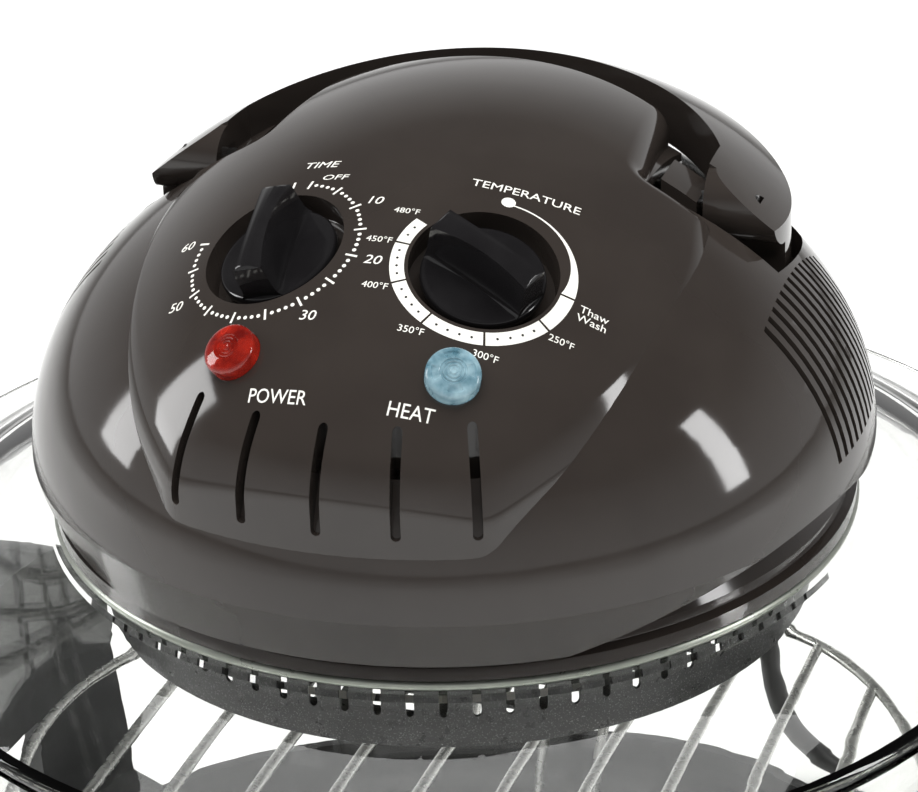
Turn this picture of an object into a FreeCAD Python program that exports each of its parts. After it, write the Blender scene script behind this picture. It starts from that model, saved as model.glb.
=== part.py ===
"""Tabletop convection oven: control head on a glass lid, glass bowl, wire rack and handled base.

Millimetres. +Z is up, the controls face -Y, and the origin is the bottom centre of the base,
on the table. Heights on the head are counted from the collar plane, where the head sits on the lid.
"""
import FreeCAD, Part
import math
import os
from FreeCAD import Matrix, Placement, Rotation, Vector

os.makedirs("parts", exist_ok=True)

# ---- driving dimensions -------------------------------------------------------------------
COLLAR_Z = 216.0            # underside of the head's collar, on top of the lid's flat land
SEAT_GAP = 0.2              # clearance under each piece that lifts off
FIT_GAP = 0.4               # clearance between nested round pieces
RUN_GAP = 0.05              # radial clearance of a turning fit

BOWL_RIM_R = 166.5          # outer edge of the bowl's flange
BOWL_RIM_Z = 197.0          # top of the bowl's flange
BOWL_RIM_T = 5.0
BOWL_WALL = 4.5
BOWL_TOP_R = 149.0          # outside of the bowl just under its flange
BOWL_FLOOR_R = 100.0
BOWL_BOTTOM_Z = 25.0

LID_R = 150.5
LID_T = 4.0
LID_EDGE_T = 3.5
LID_LAND_R = 105.0          # flat land that carries the collar
LID_HOLE_R = 95.0

COLLAR_R = 104.0            # bright trim ring
TRIM_H = 2.8
FLANGE_H = 11.0             # stepped black ring above the trim ring
PLATE_T = 1.5

HOUSING_R = 108.0           # widest part of the domed housing
HOUSING_RISE = 76.5         # height of its dome above the waist
WAIST_H = 20.0              # waist above the collar plane
SKIRT_H = 8.0               # lower edge above the collar plane
SKIRT_R = 105.8
HOUSING_WALL = 2.5
ARCH_RISE = 14.0            # height of the arch cut in each side of the skirt
ARCH_SPAN = 120.0
ARCH_Y = -30.0

PANEL_RX, PANEL_RY, PANEL_RZ = 100.0, 126.0, 84.0
PANEL_BACK = 10.0           # centre of the panel's crown, behind the axis
PANEL_WALL = 2.5
NOSE_R = 105.5
NOSE_ANGLE = 22.0           # half angle of the round nose
FLANK_R_POINTS = ((64.5, -62.0), (71.5, -15.0))
NOTCH_Y = 2.0               # front edge of the handle notch
NOTCH_OUT_X = 68.5
NOTCH_IN_X = 50.5
CREST_CORNER = (46.0, 46.0)
CREST_BACK_Y = 58.0

DIAL_X, DIAL_Y = 26.5, -53.8
LAMP_X, LAMP_Y = 26.7, -81.6
WELL_R = 18.0
WELL_DEPTH = 9.0
CUP_WALL, CUP_FLOOR = 2.0, 2.0
KNOB_R = 15.0
KNOB_DISC_T = 3.0
KNOB_WING_L, KNOB_WING_W, KNOB_WING_H = 28.5, 8.0, 10.5
KNOB_SHAFT_R = 3.0
LAMP_R = 6.6
LAMP_STEM_R = 5.2
LAMP_SEAT = 0.8             # depth that a lens is let into the panel

VENT_COUNT = 5
VENT_STEP = 10.3            # degrees between nose vents
VENT_W = 2.4
RIB_COUNT = 14
RIB_PITCH = 4.2
RIB_W = 2.0

HANDLE_OUT_X, HANDLE_IN_X = 82.0, 64.0
HANDLE_BACK_Y, HANDLE_FRONT_BAR_Y = 84.0, 70.0
HANDLE_T = 13.0
HANDLE_RX, HANDLE_RY, HANDLE_RZ = 110.0, 122.0, 86.0
PIVOT_Y, PIVOT_H = 16.0, 80.0
PIVOT_R = 2.5
PIVOT_END_R = 9.0
CHANNEL_GAP = 2.0

DRUM_R = 92.0
DRUM_WALL = 0.8
DRUM_DROP = 24.0            # drum below the collar plane
SLOT_COUNT = 72
SLOT_W = 2.1
SLOT_BOTTOM, SLOT_TOP = -15.5, -1.5
GUARD_PITCH, GUARD_HOLE = 12.0, 8.0

HEATER_R, HEATER_TUBE_R = 63.0, 5.0
HEATER_DROP = 13.0
FAN_R, FAN_HUB_R = 46.0, 9.0
FAN_DROP = 13.0
FAN_BLADE_H = 8.0
FAN_BLADES, COOLING_BLADES = 6, 8
BLADE_LEAN = 32.0           # degrees
COOLING_FAN_R, COOLING_HUB_R = 34.0, 7.0
SHAFT_R = 3.0
MOTOR_W, MOTOR_D, MOTOR_STACK = 62.0, 52.0, 18.0
MOTOR_H = 20.0              # underside of the motor stack above the collar plane
POST_CIRCLE_R = 80.0
POST_R, POST_BORE_R = 4.5, 1.9
POST_HEAD_R, POST_HEAD_H = 3.8, 2.4
LINER_H = 22.0
GLAND_R, GLAND_H = 6.0, 23.0

RACK_R = 125.0
RACK_DROP = 95.0
WIRE_R = 1.7
BAR_COUNT = 10
BAR_PITCH = 22.0
RACK_FOOT_R = 90.0
RACK_LEGS = 3

BASE_RIM_R = 136.0
BASE_RIM_Z = 58.0
BASE_WALL = 4.0
BASE_BOTTOM_R = 114.0
FOOT_H, FOOT_R = 5.0, 9.0
FOOT_CIRCLE_R = 98.0
SEAT_RING_R = 84.0

GRIP_IN_R, GRIP_T = 150.5, 7.5
GRIP_HALF_ANGLE = 27.0
GRIP_TOP_Z, GRIP_SHOULDER_Z = 152.0, 126.0
GRIP_HOLE_HALF_ANGLE = 11.5
GRIP_HOLE_LOW_Z, GRIP_HOLE_TOP_Z = 64.0, 98.0
GRIP_LIP_OUT, GRIP_LIP_T = 20.0, 5.0
GRIP_CURL_H, GRIP_CURL_T = 22.0, 4.0
GRIP_LIP_MARGIN = 6.0       # degrees that the lip stays in from the grip's ends
GRIP_SCREW_Z = 54.0
GRIP_SCREW_R, GRIP_SCREW_HEAD_R = 2.0, 3.2
GRIP_FOOT_DROP = 12.0       # grip's foot below its screws
LEG_MID_ANGLE = (GRIP_HALF_ANGLE + GRIP_HOLE_HALF_ANGLE) / 2

CORD_R = 3.5
CORD_BEND = 0.45            # share of the shorter run that an arc takes
COIL_R_IN, COIL_R_OUT, COIL_H = 26.5, 46.0, 14.4
COIL_X, COIL_Y = 122.0, 158.0
COIL_LIFT = 0.2             # underside of the coil above the table
PLUG_X = 38.5               # plug's axis beside the coil's centre
PLUG_W, PLUG_L, PLUG_H = 24.0, 34.0, 13.0
PLUG_BLADE_W, PLUG_BLADE_T, PLUG_BLADE_L = 6.4, 1.5, 17.0
PLUG_BLADE_PITCH = 12.7
CORD_POINTS = [(0, 121, 239), (1, 136, 240), (5, 158, 236), (14, 177, 217), (24, 187, 184),
               (32, 189, 144), (38, 185, 108), (43, 182, 76), (48, 184, 49), (56, 189, 27),
               (70, 195, 11), (89, 199.5, 4.6), (109, 200.4, 3.8)]

Z_AXIS = Vector(0, 0, 1)
X_AXIS = Vector(1, 0, 0)
ORIGIN = Vector(0, 0, 0)


# ---- shared helpers -----------------------------------------------------------------------
def save(node, shape):
    """Write one named piece, merging the seams that its booleans left."""
    shape = shape.removeSplitter()
    shape.exportStep(f"parts/{node}.step")
    state = "ok" if shape.isValid() else "NOT VALID"
    print(f"{node:22s} solids {len(shape.Solids):3d}  volume {shape.Volume / 1000:9.2f} cm3  {state}")


def edges_through(steps, place):
    """Closed edges: a pair is a straight step, a pair of pairs is an arc (through, to)."""
    start = place(*steps[0])
    here = start
    edges = []
    for step in steps[1:] + [steps[0]]:
        if isinstance(step[0], tuple):
            through, end = place(*step[0]), place(*step[1])
            edges.append(Part.Arc(here, through, end).toShape())
        else:
            end = place(*step)
            if end.distanceToPoint(here) < 1e-6:
                continue
            edges.append(Part.LineSegment(here, end).toShape())
        here = end
    return edges


def turned(steps, angle=360.0):
    """Solid of revolution about Z of an outline of (radius, height) steps."""
    wire = Part.Wire(edges_through(list(steps), lambda r, z: Vector(r, 0, z)))
    return Part.Face(wire).revolve(ORIGIN, Z_AXIS, angle)


def plan_wire(steps):
    return Part.Wire(edges_through(list(steps), lambda x, y: Vector(x, y, 0)))


def prism(wire, low, high):
    body = Part.Face(wire).extrude(Vector(0, 0, high - low))
    body.translate(Vector(0, 0, low))
    return body


def tube(r_out, r_in, low, high):
    return turned([(r_in, low), (r_out, low), (r_out, high), (r_in, high)])


def rod(start, end, radius):
    along = end - start
    return Part.makeCylinder(radius, along.Length, start, along)


def block(x_size, y_size, z_size, centre):
    corner = centre - Vector(x_size / 2, y_size / 2, z_size / 2)
    return Part.makeBox(x_size, y_size, z_size, corner)


def ellipsoid(rx, ry, rz, centre):
    stretch = Matrix()
    stretch.scale(rx, ry, rz)
    body = Part.makeSphere(1.0).transformGeometry(stretch)
    body.translate(centre)
    return body


def turned_copy(shape, degrees):
    copy = shape.copy()
    copy.rotate(ORIGIN, Z_AXIS, degrees)
    return copy


def ring_of(shape, count, first=0.0):
    return [turned_copy(shape, first + 360.0 * i / count) for i in range(count)]


def mirrored(shape):
    return shape.mirror(ORIGIN, X_AXIS)


def both_sides(shape):
    return Part.makeCompound([shape, mirrored(shape)])


def fuse_all(shapes):
    return shapes[0].multiFuse(shapes[1:]) if len(shapes) > 1 else shapes[0]


def up(height):
    """Row height of a height above the collar plane."""
    return COLLAR_Z + height


# ---- base ---------------------------------------------------------------------------------
def base_shell():
    floor_top = FOOT_H + BASE_WALL
    rim_in = BASE_RIM_R - BASE_WALL
    bottom_in = BASE_BOTTOM_R - BASE_WALL
    shell = turned([(0, FOOT_H), (BASE_BOTTOM_R, FOOT_H),
                    ((BASE_BOTTOM_R + 16, 26), (BASE_RIM_R, BASE_RIM_Z - 6)),
                    (BASE_RIM_R, BASE_RIM_Z), (rim_in, BASE_RIM_Z), (rim_in, BASE_RIM_Z - 6),
                    ((bottom_in + 15, 27), (bottom_in, floor_top)), (0, floor_top)])
    seat = tube(SEAT_RING_R, SEAT_RING_R - 5, floor_top, BOWL_BOTTOM_Z)
    hole = grip_screw_hole(GRIP_IN_R)
    holes = [turned_copy(hole, angle) for angle in grip_screw_angles()]
    return shell.fuse(seat).cut(Part.makeCompound(holes))


def grip_screw_hole(reach):
    """Clearance hole from inside the base's rim out to a radius."""
    start = Vector(BASE_RIM_R - 2 * BASE_WALL, 0, GRIP_SCREW_Z)
    return rod(start, Vector(reach, 0, GRIP_SCREW_Z), GRIP_SCREW_R + FIT_GAP / 2)


def grip_screw_angles():
    return [side + lean for side in (0, 180) for lean in (-LEG_MID_ANGLE, LEG_MID_ANGLE)]


def sector(r_in, r_out, half_angle, low, high):
    """Part of a ring about Z, centred on +X."""
    ring = turned([(r_in, low), (r_out, low), (r_out, high), (r_in, high)], 2 * half_angle)
    return turned_copy(ring, -half_angle)


def base_handle():
    """Arched side handle on +X: two legs and a grip band with an outward lip."""
    grip_out = GRIP_IN_R + GRIP_T
    foot_z = GRIP_SCREW_Z - GRIP_FOOT_DROP
    panel = sector(GRIP_IN_R, grip_out, GRIP_HALF_ANGLE, foot_z, GRIP_TOP_Z)
    half_width = grip_out * math.sin(math.radians(GRIP_HALF_ANGLE)) + 1
    brow = [(-half_width, foot_z - 1), (half_width, foot_z - 1), (half_width, GRIP_SHOULDER_Z),
            ((half_width * 0.84, GRIP_TOP_Z - 7), (half_width * 0.5, GRIP_TOP_Z)),
            (-half_width * 0.5, GRIP_TOP_Z),
            ((-half_width * 0.84, GRIP_TOP_Z - 7), (-half_width, GRIP_SHOULDER_Z))]
    wire = Part.Wire(edges_through(brow, lambda y, z: Vector(0, y, z)))
    shape_limit = Part.Face(wire).extrude(Vector(grip_out + GRIP_LIP_OUT + 5, 0, 0))
    lip_r, lip_half = grip_out + GRIP_LIP_OUT, GRIP_HALF_ANGLE - GRIP_LIP_MARGIN
    lip = sector(grip_out - 1, lip_r, lip_half, GRIP_TOP_Z - GRIP_LIP_T, GRIP_TOP_Z)
    curl = sector(lip_r - GRIP_CURL_T, lip_r, lip_half, GRIP_TOP_Z - GRIP_CURL_H, GRIP_TOP_Z)
    foot = sector(BASE_RIM_R, grip_out, GRIP_HALF_ANGLE, foot_z, BASE_RIM_Z)
    hole = sector(GRIP_IN_R - 2, grip_out + 2, GRIP_HOLE_HALF_ANGLE,
                  GRIP_HOLE_LOW_Z, GRIP_HOLE_TOP_Z)
    shell_space = turned([(0, FOOT_H), (BASE_RIM_R, FOOT_H), (BASE_RIM_R, BASE_RIM_Z),
                          (0, BASE_RIM_Z)])
    handle = fuse_all([panel, lip, curl, foot]).common(shape_limit).cut(hole).cut(shell_space)
    bore = grip_screw_hole(GRIP_IN_R + GRIP_T - 1.5)
    bores = [turned_copy(bore, angle) for angle in (-LEG_MID_ANGLE, LEG_MID_ANGLE)]
    return handle.cut(Part.makeCompound(bores))


def base_screws():
    seat_r = BASE_RIM_R - BASE_WALL - 0.1
    seat, tip = Vector(seat_r, 0, GRIP_SCREW_Z), Vector(GRIP_IN_R + GRIP_T - 4, 0, GRIP_SCREW_Z)
    head = rod(seat, seat - X_AXIS * 0.9, GRIP_SCREW_HEAD_R)
    screw = rod(seat, tip, GRIP_SCREW_R).fuse(head)
    return Part.makeCompound([turned_copy(screw, angle) for angle in grip_screw_angles()])


def base_feet():
    foot = turned([(0, 0), (FOOT_R - 1, 0), (FOOT_R, 1), (FOOT_R, FOOT_H), (0, FOOT_H)])
    foot.translate(Vector(FOOT_CIRCLE_R, 0, 0))
    return Part.makeCompound(ring_of(foot, 4, 45))


# ---- bowl, rack and lid -------------------------------------------------------------------
def glass_bowl():
    low = BOWL_BOTTOM_Z + SEAT_GAP
    flange_low = BOWL_RIM_Z - BOWL_RIM_T
    outer = [(BOWL_FLOOR_R, low), ((BOWL_FLOOR_R + 19, low + 7), (BOWL_FLOOR_R + 28, low + 28)),
             ((BOWL_TOP_R - 7, 110), (BOWL_TOP_R, flange_low))]
    inner = [((BOWL_TOP_R - BOWL_WALL - 7, 110), (BOWL_FLOOR_R + 28 - BOWL_WALL, low + 28)),
             ((BOWL_FLOOR_R + 16, low + BOWL_WALL + 5), (BOWL_FLOOR_R - 2, low + BOWL_WALL))]
    rim = [(BOWL_RIM_R - 1.5, flange_low), ((BOWL_RIM_R, BOWL_RIM_Z - BOWL_RIM_T / 2),
                                            (BOWL_RIM_R - 1.5, BOWL_RIM_Z)),
           (BOWL_TOP_R - BOWL_WALL, BOWL_RIM_Z)]
    return turned([(0, low)] + outer + rim + inner + [(0, low + BOWL_WALL)])


def wire_rack():
    plane = up(-RACK_DROP)
    ring = Part.makeTorus(RACK_R, WIRE_R, Vector(0, 0, plane))
    bars = []
    for i in range(BAR_COUNT):
        x = (i - (BAR_COUNT - 1) / 2) * BAR_PITCH
        reach = math.sqrt(RACK_R ** 2 - x ** 2)
        bars.append(rod(Vector(x, -reach, plane), Vector(x, reach, plane), WIRE_R))
    floor = BOWL_BOTTOM_Z + BOWL_WALL + 2 * SEAT_GAP + WIRE_R
    half = 9.0
    legs = []
    for i in range(RACK_LEGS):
        turn = 90 + 360.0 * i / RACK_LEGS
        top_x = math.sqrt(RACK_R ** 2 - half ** 2)
        side = []
        for y in (-half, half):
            side.append(rod(Vector(top_x, y, plane), Vector(RACK_FOOT_R, y, floor), WIRE_R))
            side.append(Part.makeSphere(WIRE_R, Vector(RACK_FOOT_R, y, floor)))
        side.append(rod(Vector(RACK_FOOT_R, -half, floor), Vector(RACK_FOOT_R, half, floor), WIRE_R))
        legs += [turned_copy(piece, turn) for piece in side]
    return fuse_all([ring] + bars + legs)


def glass_lid():
    top = up(0)
    low = BOWL_RIM_Z + SEAT_GAP
    mid_r = (LID_LAND_R + LID_R) / 2
    mid_z = (top + low + LID_EDGE_T) / 2 + 2.6
    return turned([(LID_HOLE_R, top - LID_T), (LID_LAND_R, top - LID_T),
                   ((mid_r - 2, mid_z - LID_T), (LID_R - 6, low)), (LID_R - 0.8, low),
                   ((LID_R, low + LID_EDGE_T / 2), (LID_R - 0.8, low + LID_EDGE_T)),
                   ((mid_r, mid_z), (LID_LAND_R, top)), (LID_HOLE_R, top)])


# ---- collar, drum and heater --------------------------------------------------------------
def lid_gasket():
    inside = DRUM_R + FIT_GAP
    return turned([(inside, up(-LID_T)), (LID_HOLE_R, up(-LID_T)), (LID_HOLE_R, up(0)),
                   (LID_HOLE_R + 4.5, up(0)), (LID_HOLE_R + 4.5, up(TRIM_H)), (inside, up(TRIM_H))])


def trim_ring():
    inside = LID_HOLE_R + 4.5
    return turned([(inside, up(0)), (COLLAR_R - 1, up(0)), ((COLLAR_R, up(TRIM_H / 2)),
                   (COLLAR_R - 1, up(TRIM_H))), (inside, up(TRIM_H))])


def flange_ring():
    top = TRIM_H + FLANGE_H
    ring = turned([(DRUM_R - 8, up(TRIM_H)), (COLLAR_R - 0.5, up(TRIM_H)),
                   (COLLAR_R - 0.5, up(TRIM_H + 3.5)), (COLLAR_R - 2.5, up(TRIM_H + 4.5)),
                   (COLLAR_R - 2.5, up(TRIM_H + 7.0)), (COLLAR_R - 5.5, up(top)),
                   (COLLAR_R - 11.5, up(top)), (COLLAR_R - 11.5, up(plate_low_h())),
                   (DRUM_R - 8, up(plate_low_h()))])
    head_room = [Part.makeCylinder(POST_HEAD_R + 0.1, FLANGE_H, place + Vector(0, 0, up(TRIM_H)))
                 for place in post_screw_places(POST_CIRCLE_R)]
    return ring.cut(Part.makeCompound(head_room))


def post_screw_places(radius):
    """Positions of the four housing screws about the axis."""
    at = radius / math.sqrt(2)
    return [Vector(x, y, 0) for x in (-at, at) for y in (-at, at)]


def plate_low_h():
    return TRIM_H + FLANGE_H - PLATE_T


def motor_plate():
    low = up(plate_low_h())
    plate = tube(COLLAR_R - 11.5 - FIT_GAP, SHAFT_R + 1.5, low, low + PLATE_T)
    holes = [Part.makeCylinder(2.2, 20, place + Vector(0, 0, low - 5))
             for place in post_screw_places(POST_CIRCLE_R)]
    slot = block(16, 4, 10, Vector(68, 0, low))
    return plate.cut(Part.makeCompound(holes + ring_of(slot, 8, 22.5)))


def housing_liner():
    """Sheet can that closes the space behind the arches of the skirt."""
    low = up(plate_low_h() + PLATE_T)
    high = low + LINER_H
    outside = COLLAR_R - 12.5
    can = turned([(outside - 6, low), (outside, low), (outside, high), (outside - 1, high),
                  (outside - 1, low + 1), (outside - 6, low + 1)])
    return can.cut(channel(HOUSING_WALL + FIT_GAP))


def perforated_drum():
    top, bottom = up(TRIM_H), up(-DRUM_DROP)
    inside = DRUM_R - DRUM_WALL
    wall = turned([(inside, bottom), (DRUM_R, bottom), (DRUM_R, top), (DRUM_R - 7, top),
                   (DRUM_R - 7, top - 1), (inside, top - 1)])
    height = SLOT_TOP - SLOT_BOTTOM - SLOT_W
    cutter = block(6, SLOT_W, height, Vector(DRUM_R, 0, up((SLOT_TOP + SLOT_BOTTOM) / 2)))
    cutter = cutter.fuse(rod(Vector(DRUM_R - 3, 0, up(SLOT_BOTTOM) + SLOT_W / 2),
                             Vector(DRUM_R + 3, 0, up(SLOT_BOTTOM) + SLOT_W / 2), SLOT_W / 2))
    return wall.cut(Part.makeCompound(ring_of(cutter, SLOT_COUNT)))


def drum_guard():
    low = up(-DRUM_DROP)
    reach = DRUM_R - DRUM_WALL - 0.1
    plate = Part.makeCylinder(reach, 1.0, Vector(0, 0, low))
    count = int(reach / GUARD_PITCH)
    holes = []
    for i in range(-count, count + 1):
        for j in range(-count, count + 1):
            x, y = i * GUARD_PITCH, j * GUARD_PITCH
            if math.hypot(x, y) + GUARD_HOLE * 0.75 < reach - 1.5:
                holes.append(block(GUARD_HOLE, GUARD_HOLE, 4, Vector(x, y, low)))
    return plate.cut(Part.makeCompound(holes))


def heat_shield():
    """Reflector above the heater, with a centre hole for the shaft."""
    z = up(-2.0)
    edge = DRUM_R - DRUM_WALL - 1.5
    return turned([(8, z - 3), (52, z - 3), (64, z), (edge, z), (edge, z + 0.8), (64, z + 0.8),
                   (52, z - 2.2), (8, z - 2.2)])


def heating_ring():
    """Halogen tube bent to an open ring."""
    profile = Part.Wire(Part.makeCircle(HEATER_TUBE_R, Vector(HEATER_R, 0, up(-HEATER_DROP)),
                                        Vector(0, 1, 0)))
    ring = Part.Face(profile).revolve(ORIGIN, Z_AXIS, 330)
    return turned_copy(ring, 285)


def heater_ends():
    """Ceramic end caps that carry the ring's two ends."""
    cap = block(13, 14, 12.6, Vector(HEATER_R, 0, up(-HEATER_DROP) + 0.6))
    left, right = turned_copy(cap, 285 - 6.9), turned_copy(cap, 255 + 6.9)
    return Part.makeCompound([left, right])


def heater_clips():
    """Sheet clips that hang the ring from the heat shield."""
    z = up(-HEATER_DROP)
    clip = tube(HEATER_TUBE_R + 1.0, HEATER_TUBE_R + 0.1, 0, 4)
    clip.rotate(ORIGIN, X_AXIS, 90)
    clip.translate(Vector(HEATER_R, 2, z))
    stem_low = z + HEATER_TUBE_R + 0.8
    stem = Part.makeBox(2, 4, up(-2.7) - stem_low, Vector(HEATER_R - 1, -2, stem_low))
    piece = clip.fuse(stem)
    return Part.makeCompound([turned_copy(piece, angle) for angle in (0, 90, 180)])


# ---- shafts, fans and motor ---------------------------------------------------------------
def fan_shaft():
    return Part.makeCylinder(SHAFT_R, FAN_DROP + 68, Vector(0, 0, up(-FAN_DROP - 5)))


def bladed_fan(hub_r, radius, count, low):
    hub = tube(hub_r, SHAFT_R, low, low + FAN_BLADE_H)
    blade = Part.makeBox(radius - hub_r + 1, 1.2, FAN_BLADE_H, Vector(hub_r - 1, -0.6, low))
    blade.rotate(Vector(0, 0, low + FAN_BLADE_H / 2), X_AXIS, BLADE_LEAN)
    keep = Part.makeCylinder(radius, FAN_BLADE_H, Vector(0, 0, low))
    blades = [piece.common(keep) for piece in ring_of(blade, count)]
    return fuse_all([hub] + blades)


def convection_fan():
    return bladed_fan(FAN_HUB_R, FAN_R, FAN_BLADES, up(-FAN_DROP - 3))


def cooling_fan():
    return bladed_fan(COOLING_HUB_R, COOLING_FAN_R, COOLING_BLADES, up(MOTOR_H + 27))


def motor_stator():
    low = up(MOTOR_H)
    stack = Part.makeBox(MOTOR_W, MOTOR_D, MOTOR_STACK, Vector(-MOTOR_W / 2, -18, low))
    window = Part.makeBox(30, 9, MOTOR_STACK + 2, Vector(-15, 17, low - 1))
    bore = Part.makeCylinder(14.5, MOTOR_STACK + 2, Vector(0, 0, low - 1))
    return stack.cut(window).cut(bore)


def motor_rotor():
    low = up(MOTOR_H)
    return tube(14.0, SHAFT_R, low, low + MOTOR_STACK)


def motor_coil():
    low = up(MOTOR_H)
    leg_y = (17 + 9 + MOTOR_D - 18) / 2
    leg_half = (MOTOR_D - 18 - 26) / 2 + 0.05
    outer = block(28, 2 * leg_half + 14, MOTOR_STACK + 10, Vector(0, leg_y, low + MOTOR_STACK / 2))
    inner = block(30, 2 * leg_half, MOTOR_STACK + 0.1, Vector(0, leg_y, low + MOTOR_STACK / 2))
    front_gap = Part.makeBox(30, 20, MOTOR_STACK + 20, Vector(-15, -3.0, low - 10))
    return outer.cut(inner).cut(front_gap.common(block(30, 40, 60, Vector(0, 0, low))))


def motor_legs():
    """Four spacer posts between the motor plate and the stack."""
    low = up(plate_low_h() + PLATE_T)
    high = up(MOTOR_H)
    posts = [Part.makeCylinder(3.0, high - low, Vector(x, y, low)) for x in (-26, 26) for y in (-13, 29)]
    return Part.makeCompound(posts)


def motor_bearing():
    low = up(plate_low_h() + PLATE_T)
    return tube(7.0, SHAFT_R + RUN_GAP, low, low + 4)


# ---- head shells --------------------------------------------------------------------------
def dome(radius, rise, skirt_radius, low, waist=None):
    """Solid dome: a skirt up to the waist, then a quarter ellipse to the top."""
    waist = up(WAIST_H) if waist is None else waist
    top = Vector(0, 0, waist + rise)
    side = Vector(radius, 0, waist)
    arc = Part.Ellipse(side, top, Vector(0, 0, waist)).toShape(0, math.pi / 2)
    foot, foot_out = Vector(0, 0, low), Vector(skirt_radius, 0, low)
    lines = [Part.LineSegment(foot, foot_out).toShape(), Part.LineSegment(foot_out, side).toShape(),
             Part.LineSegment(top, foot).toShape()]
    wire = Part.Wire(Part.__sortEdges__([arc] + lines))
    return Part.Face(wire).revolve(ORIGIN, Z_AXIS, 360)


def panel_outline(inset=0.0):
    """Plan of the shield-shaped panel, round nose forward, notched for the handle."""
    nose = math.radians(NOSE_ANGLE)
    nose_x, nose_y = NOSE_R * math.sin(nose), -NOSE_R * math.cos(nose)
    (mid_x, mid_y), (flank_x, flank_y) = FLANK_R_POINTS
    corner_x, corner_y = CREST_CORNER
    steps = [(-nose_x, nose_y), ((0, -NOSE_R), (nose_x, nose_y)),
             ((mid_x, mid_y), (flank_x, flank_y)), (NOTCH_OUT_X, NOTCH_Y), (NOTCH_IN_X, NOTCH_Y),
             (corner_x, corner_y), ((0, CREST_BACK_Y), (-corner_x, corner_y)),
             (-NOTCH_IN_X, NOTCH_Y), (-NOTCH_OUT_X, NOTCH_Y), (-flank_x, flank_y),
             ((-mid_x, mid_y), (-nose_x, nose_y))]
    wire = plan_wire(steps)
    return wire.makeOffset2D(-inset) if inset else wire


def panel_crown(shrink=0.0):
    centre = Vector(0, PANEL_BACK, up(WAIST_H))
    return ellipsoid(PANEL_RX - shrink, PANEL_RY - shrink, PANEL_RZ - shrink, centre)


def handle_crown(shrink=0.0):
    centre = Vector(0, PANEL_BACK, up(WAIST_H))
    return ellipsoid(HANDLE_RX - shrink, HANDLE_RY - shrink, HANDLE_RZ - shrink, centre)


def crown_point(x, y):
    """Point of the panel's crown above (x, y), and the outward normal there."""
    share = 1 - (x / PANEL_RX) ** 2 - ((y - PANEL_BACK) / PANEL_RY) ** 2
    height = PANEL_RZ * math.sqrt(share)
    normal = Vector(x / PANEL_RX ** 2, (y - PANEL_BACK) / PANEL_RY ** 2, height / PANEL_RZ ** 2)
    return Vector(x, y, up(WAIST_H) + height), normal.normalize()


def seated(shape, x, y):
    """Move a shape built about the origin onto the crown, its Z along the normal."""
    point, normal = crown_point(x, y)
    placed = shape.copy()
    placed.Placement = Placement(point, Rotation(Z_AXIS, normal))
    return placed


def dial_places():
    return {"timer": (-DIAL_X, DIAL_Y), "thermostat": (DIAL_X, DIAL_Y)}


def channel_band(grow):
    """Plan of the D-shaped track that the handle lies in, open at the front."""
    out_x, in_x = HANDLE_OUT_X + grow, NOTCH_IN_X - 0.5
    back, front_bar = HANDLE_BACK_Y + grow, CREST_CORNER[1] + 4
    start_y = PIVOT_Y - PIVOT_END_R - grow - 1.5
    return [(in_x, start_y), (out_x, start_y), ((out_x + 0.5, 26), (out_x - 3.5, 46)),
            ((out_x * 0.64, back - 12), (0, back)),
            ((-out_x * 0.64, back - 12), (-out_x + 3.5, 46)), ((-out_x - 0.5, 26), (-out_x, start_y)),
            (-in_x, start_y), (-in_x, front_bar - 8), ((0, CREST_BACK_Y + 2), (in_x, front_bar - 8))]


def channel(extra=0.0):
    """Space around the laid-down handle; extra is the wall left under and beside it."""
    band = plan_wire(channel_band(CHANNEL_GAP + extra))
    floor = handle_crown(HANDLE_T + CHANNEL_GAP + extra)
    turning = rod(Vector(HANDLE_IN_X - CHANNEL_GAP, PIVOT_Y, up(PIVOT_H)),
                  Vector(HANDLE_OUT_X + CHANNEL_GAP, PIVOT_Y, up(PIVOT_H)),
                  PIVOT_END_R + CHANNEL_GAP / 2 + extra)
    return prism(band, up(WAIST_H), up(130)).cut(floor).fuse(both_sides(turning))


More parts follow.
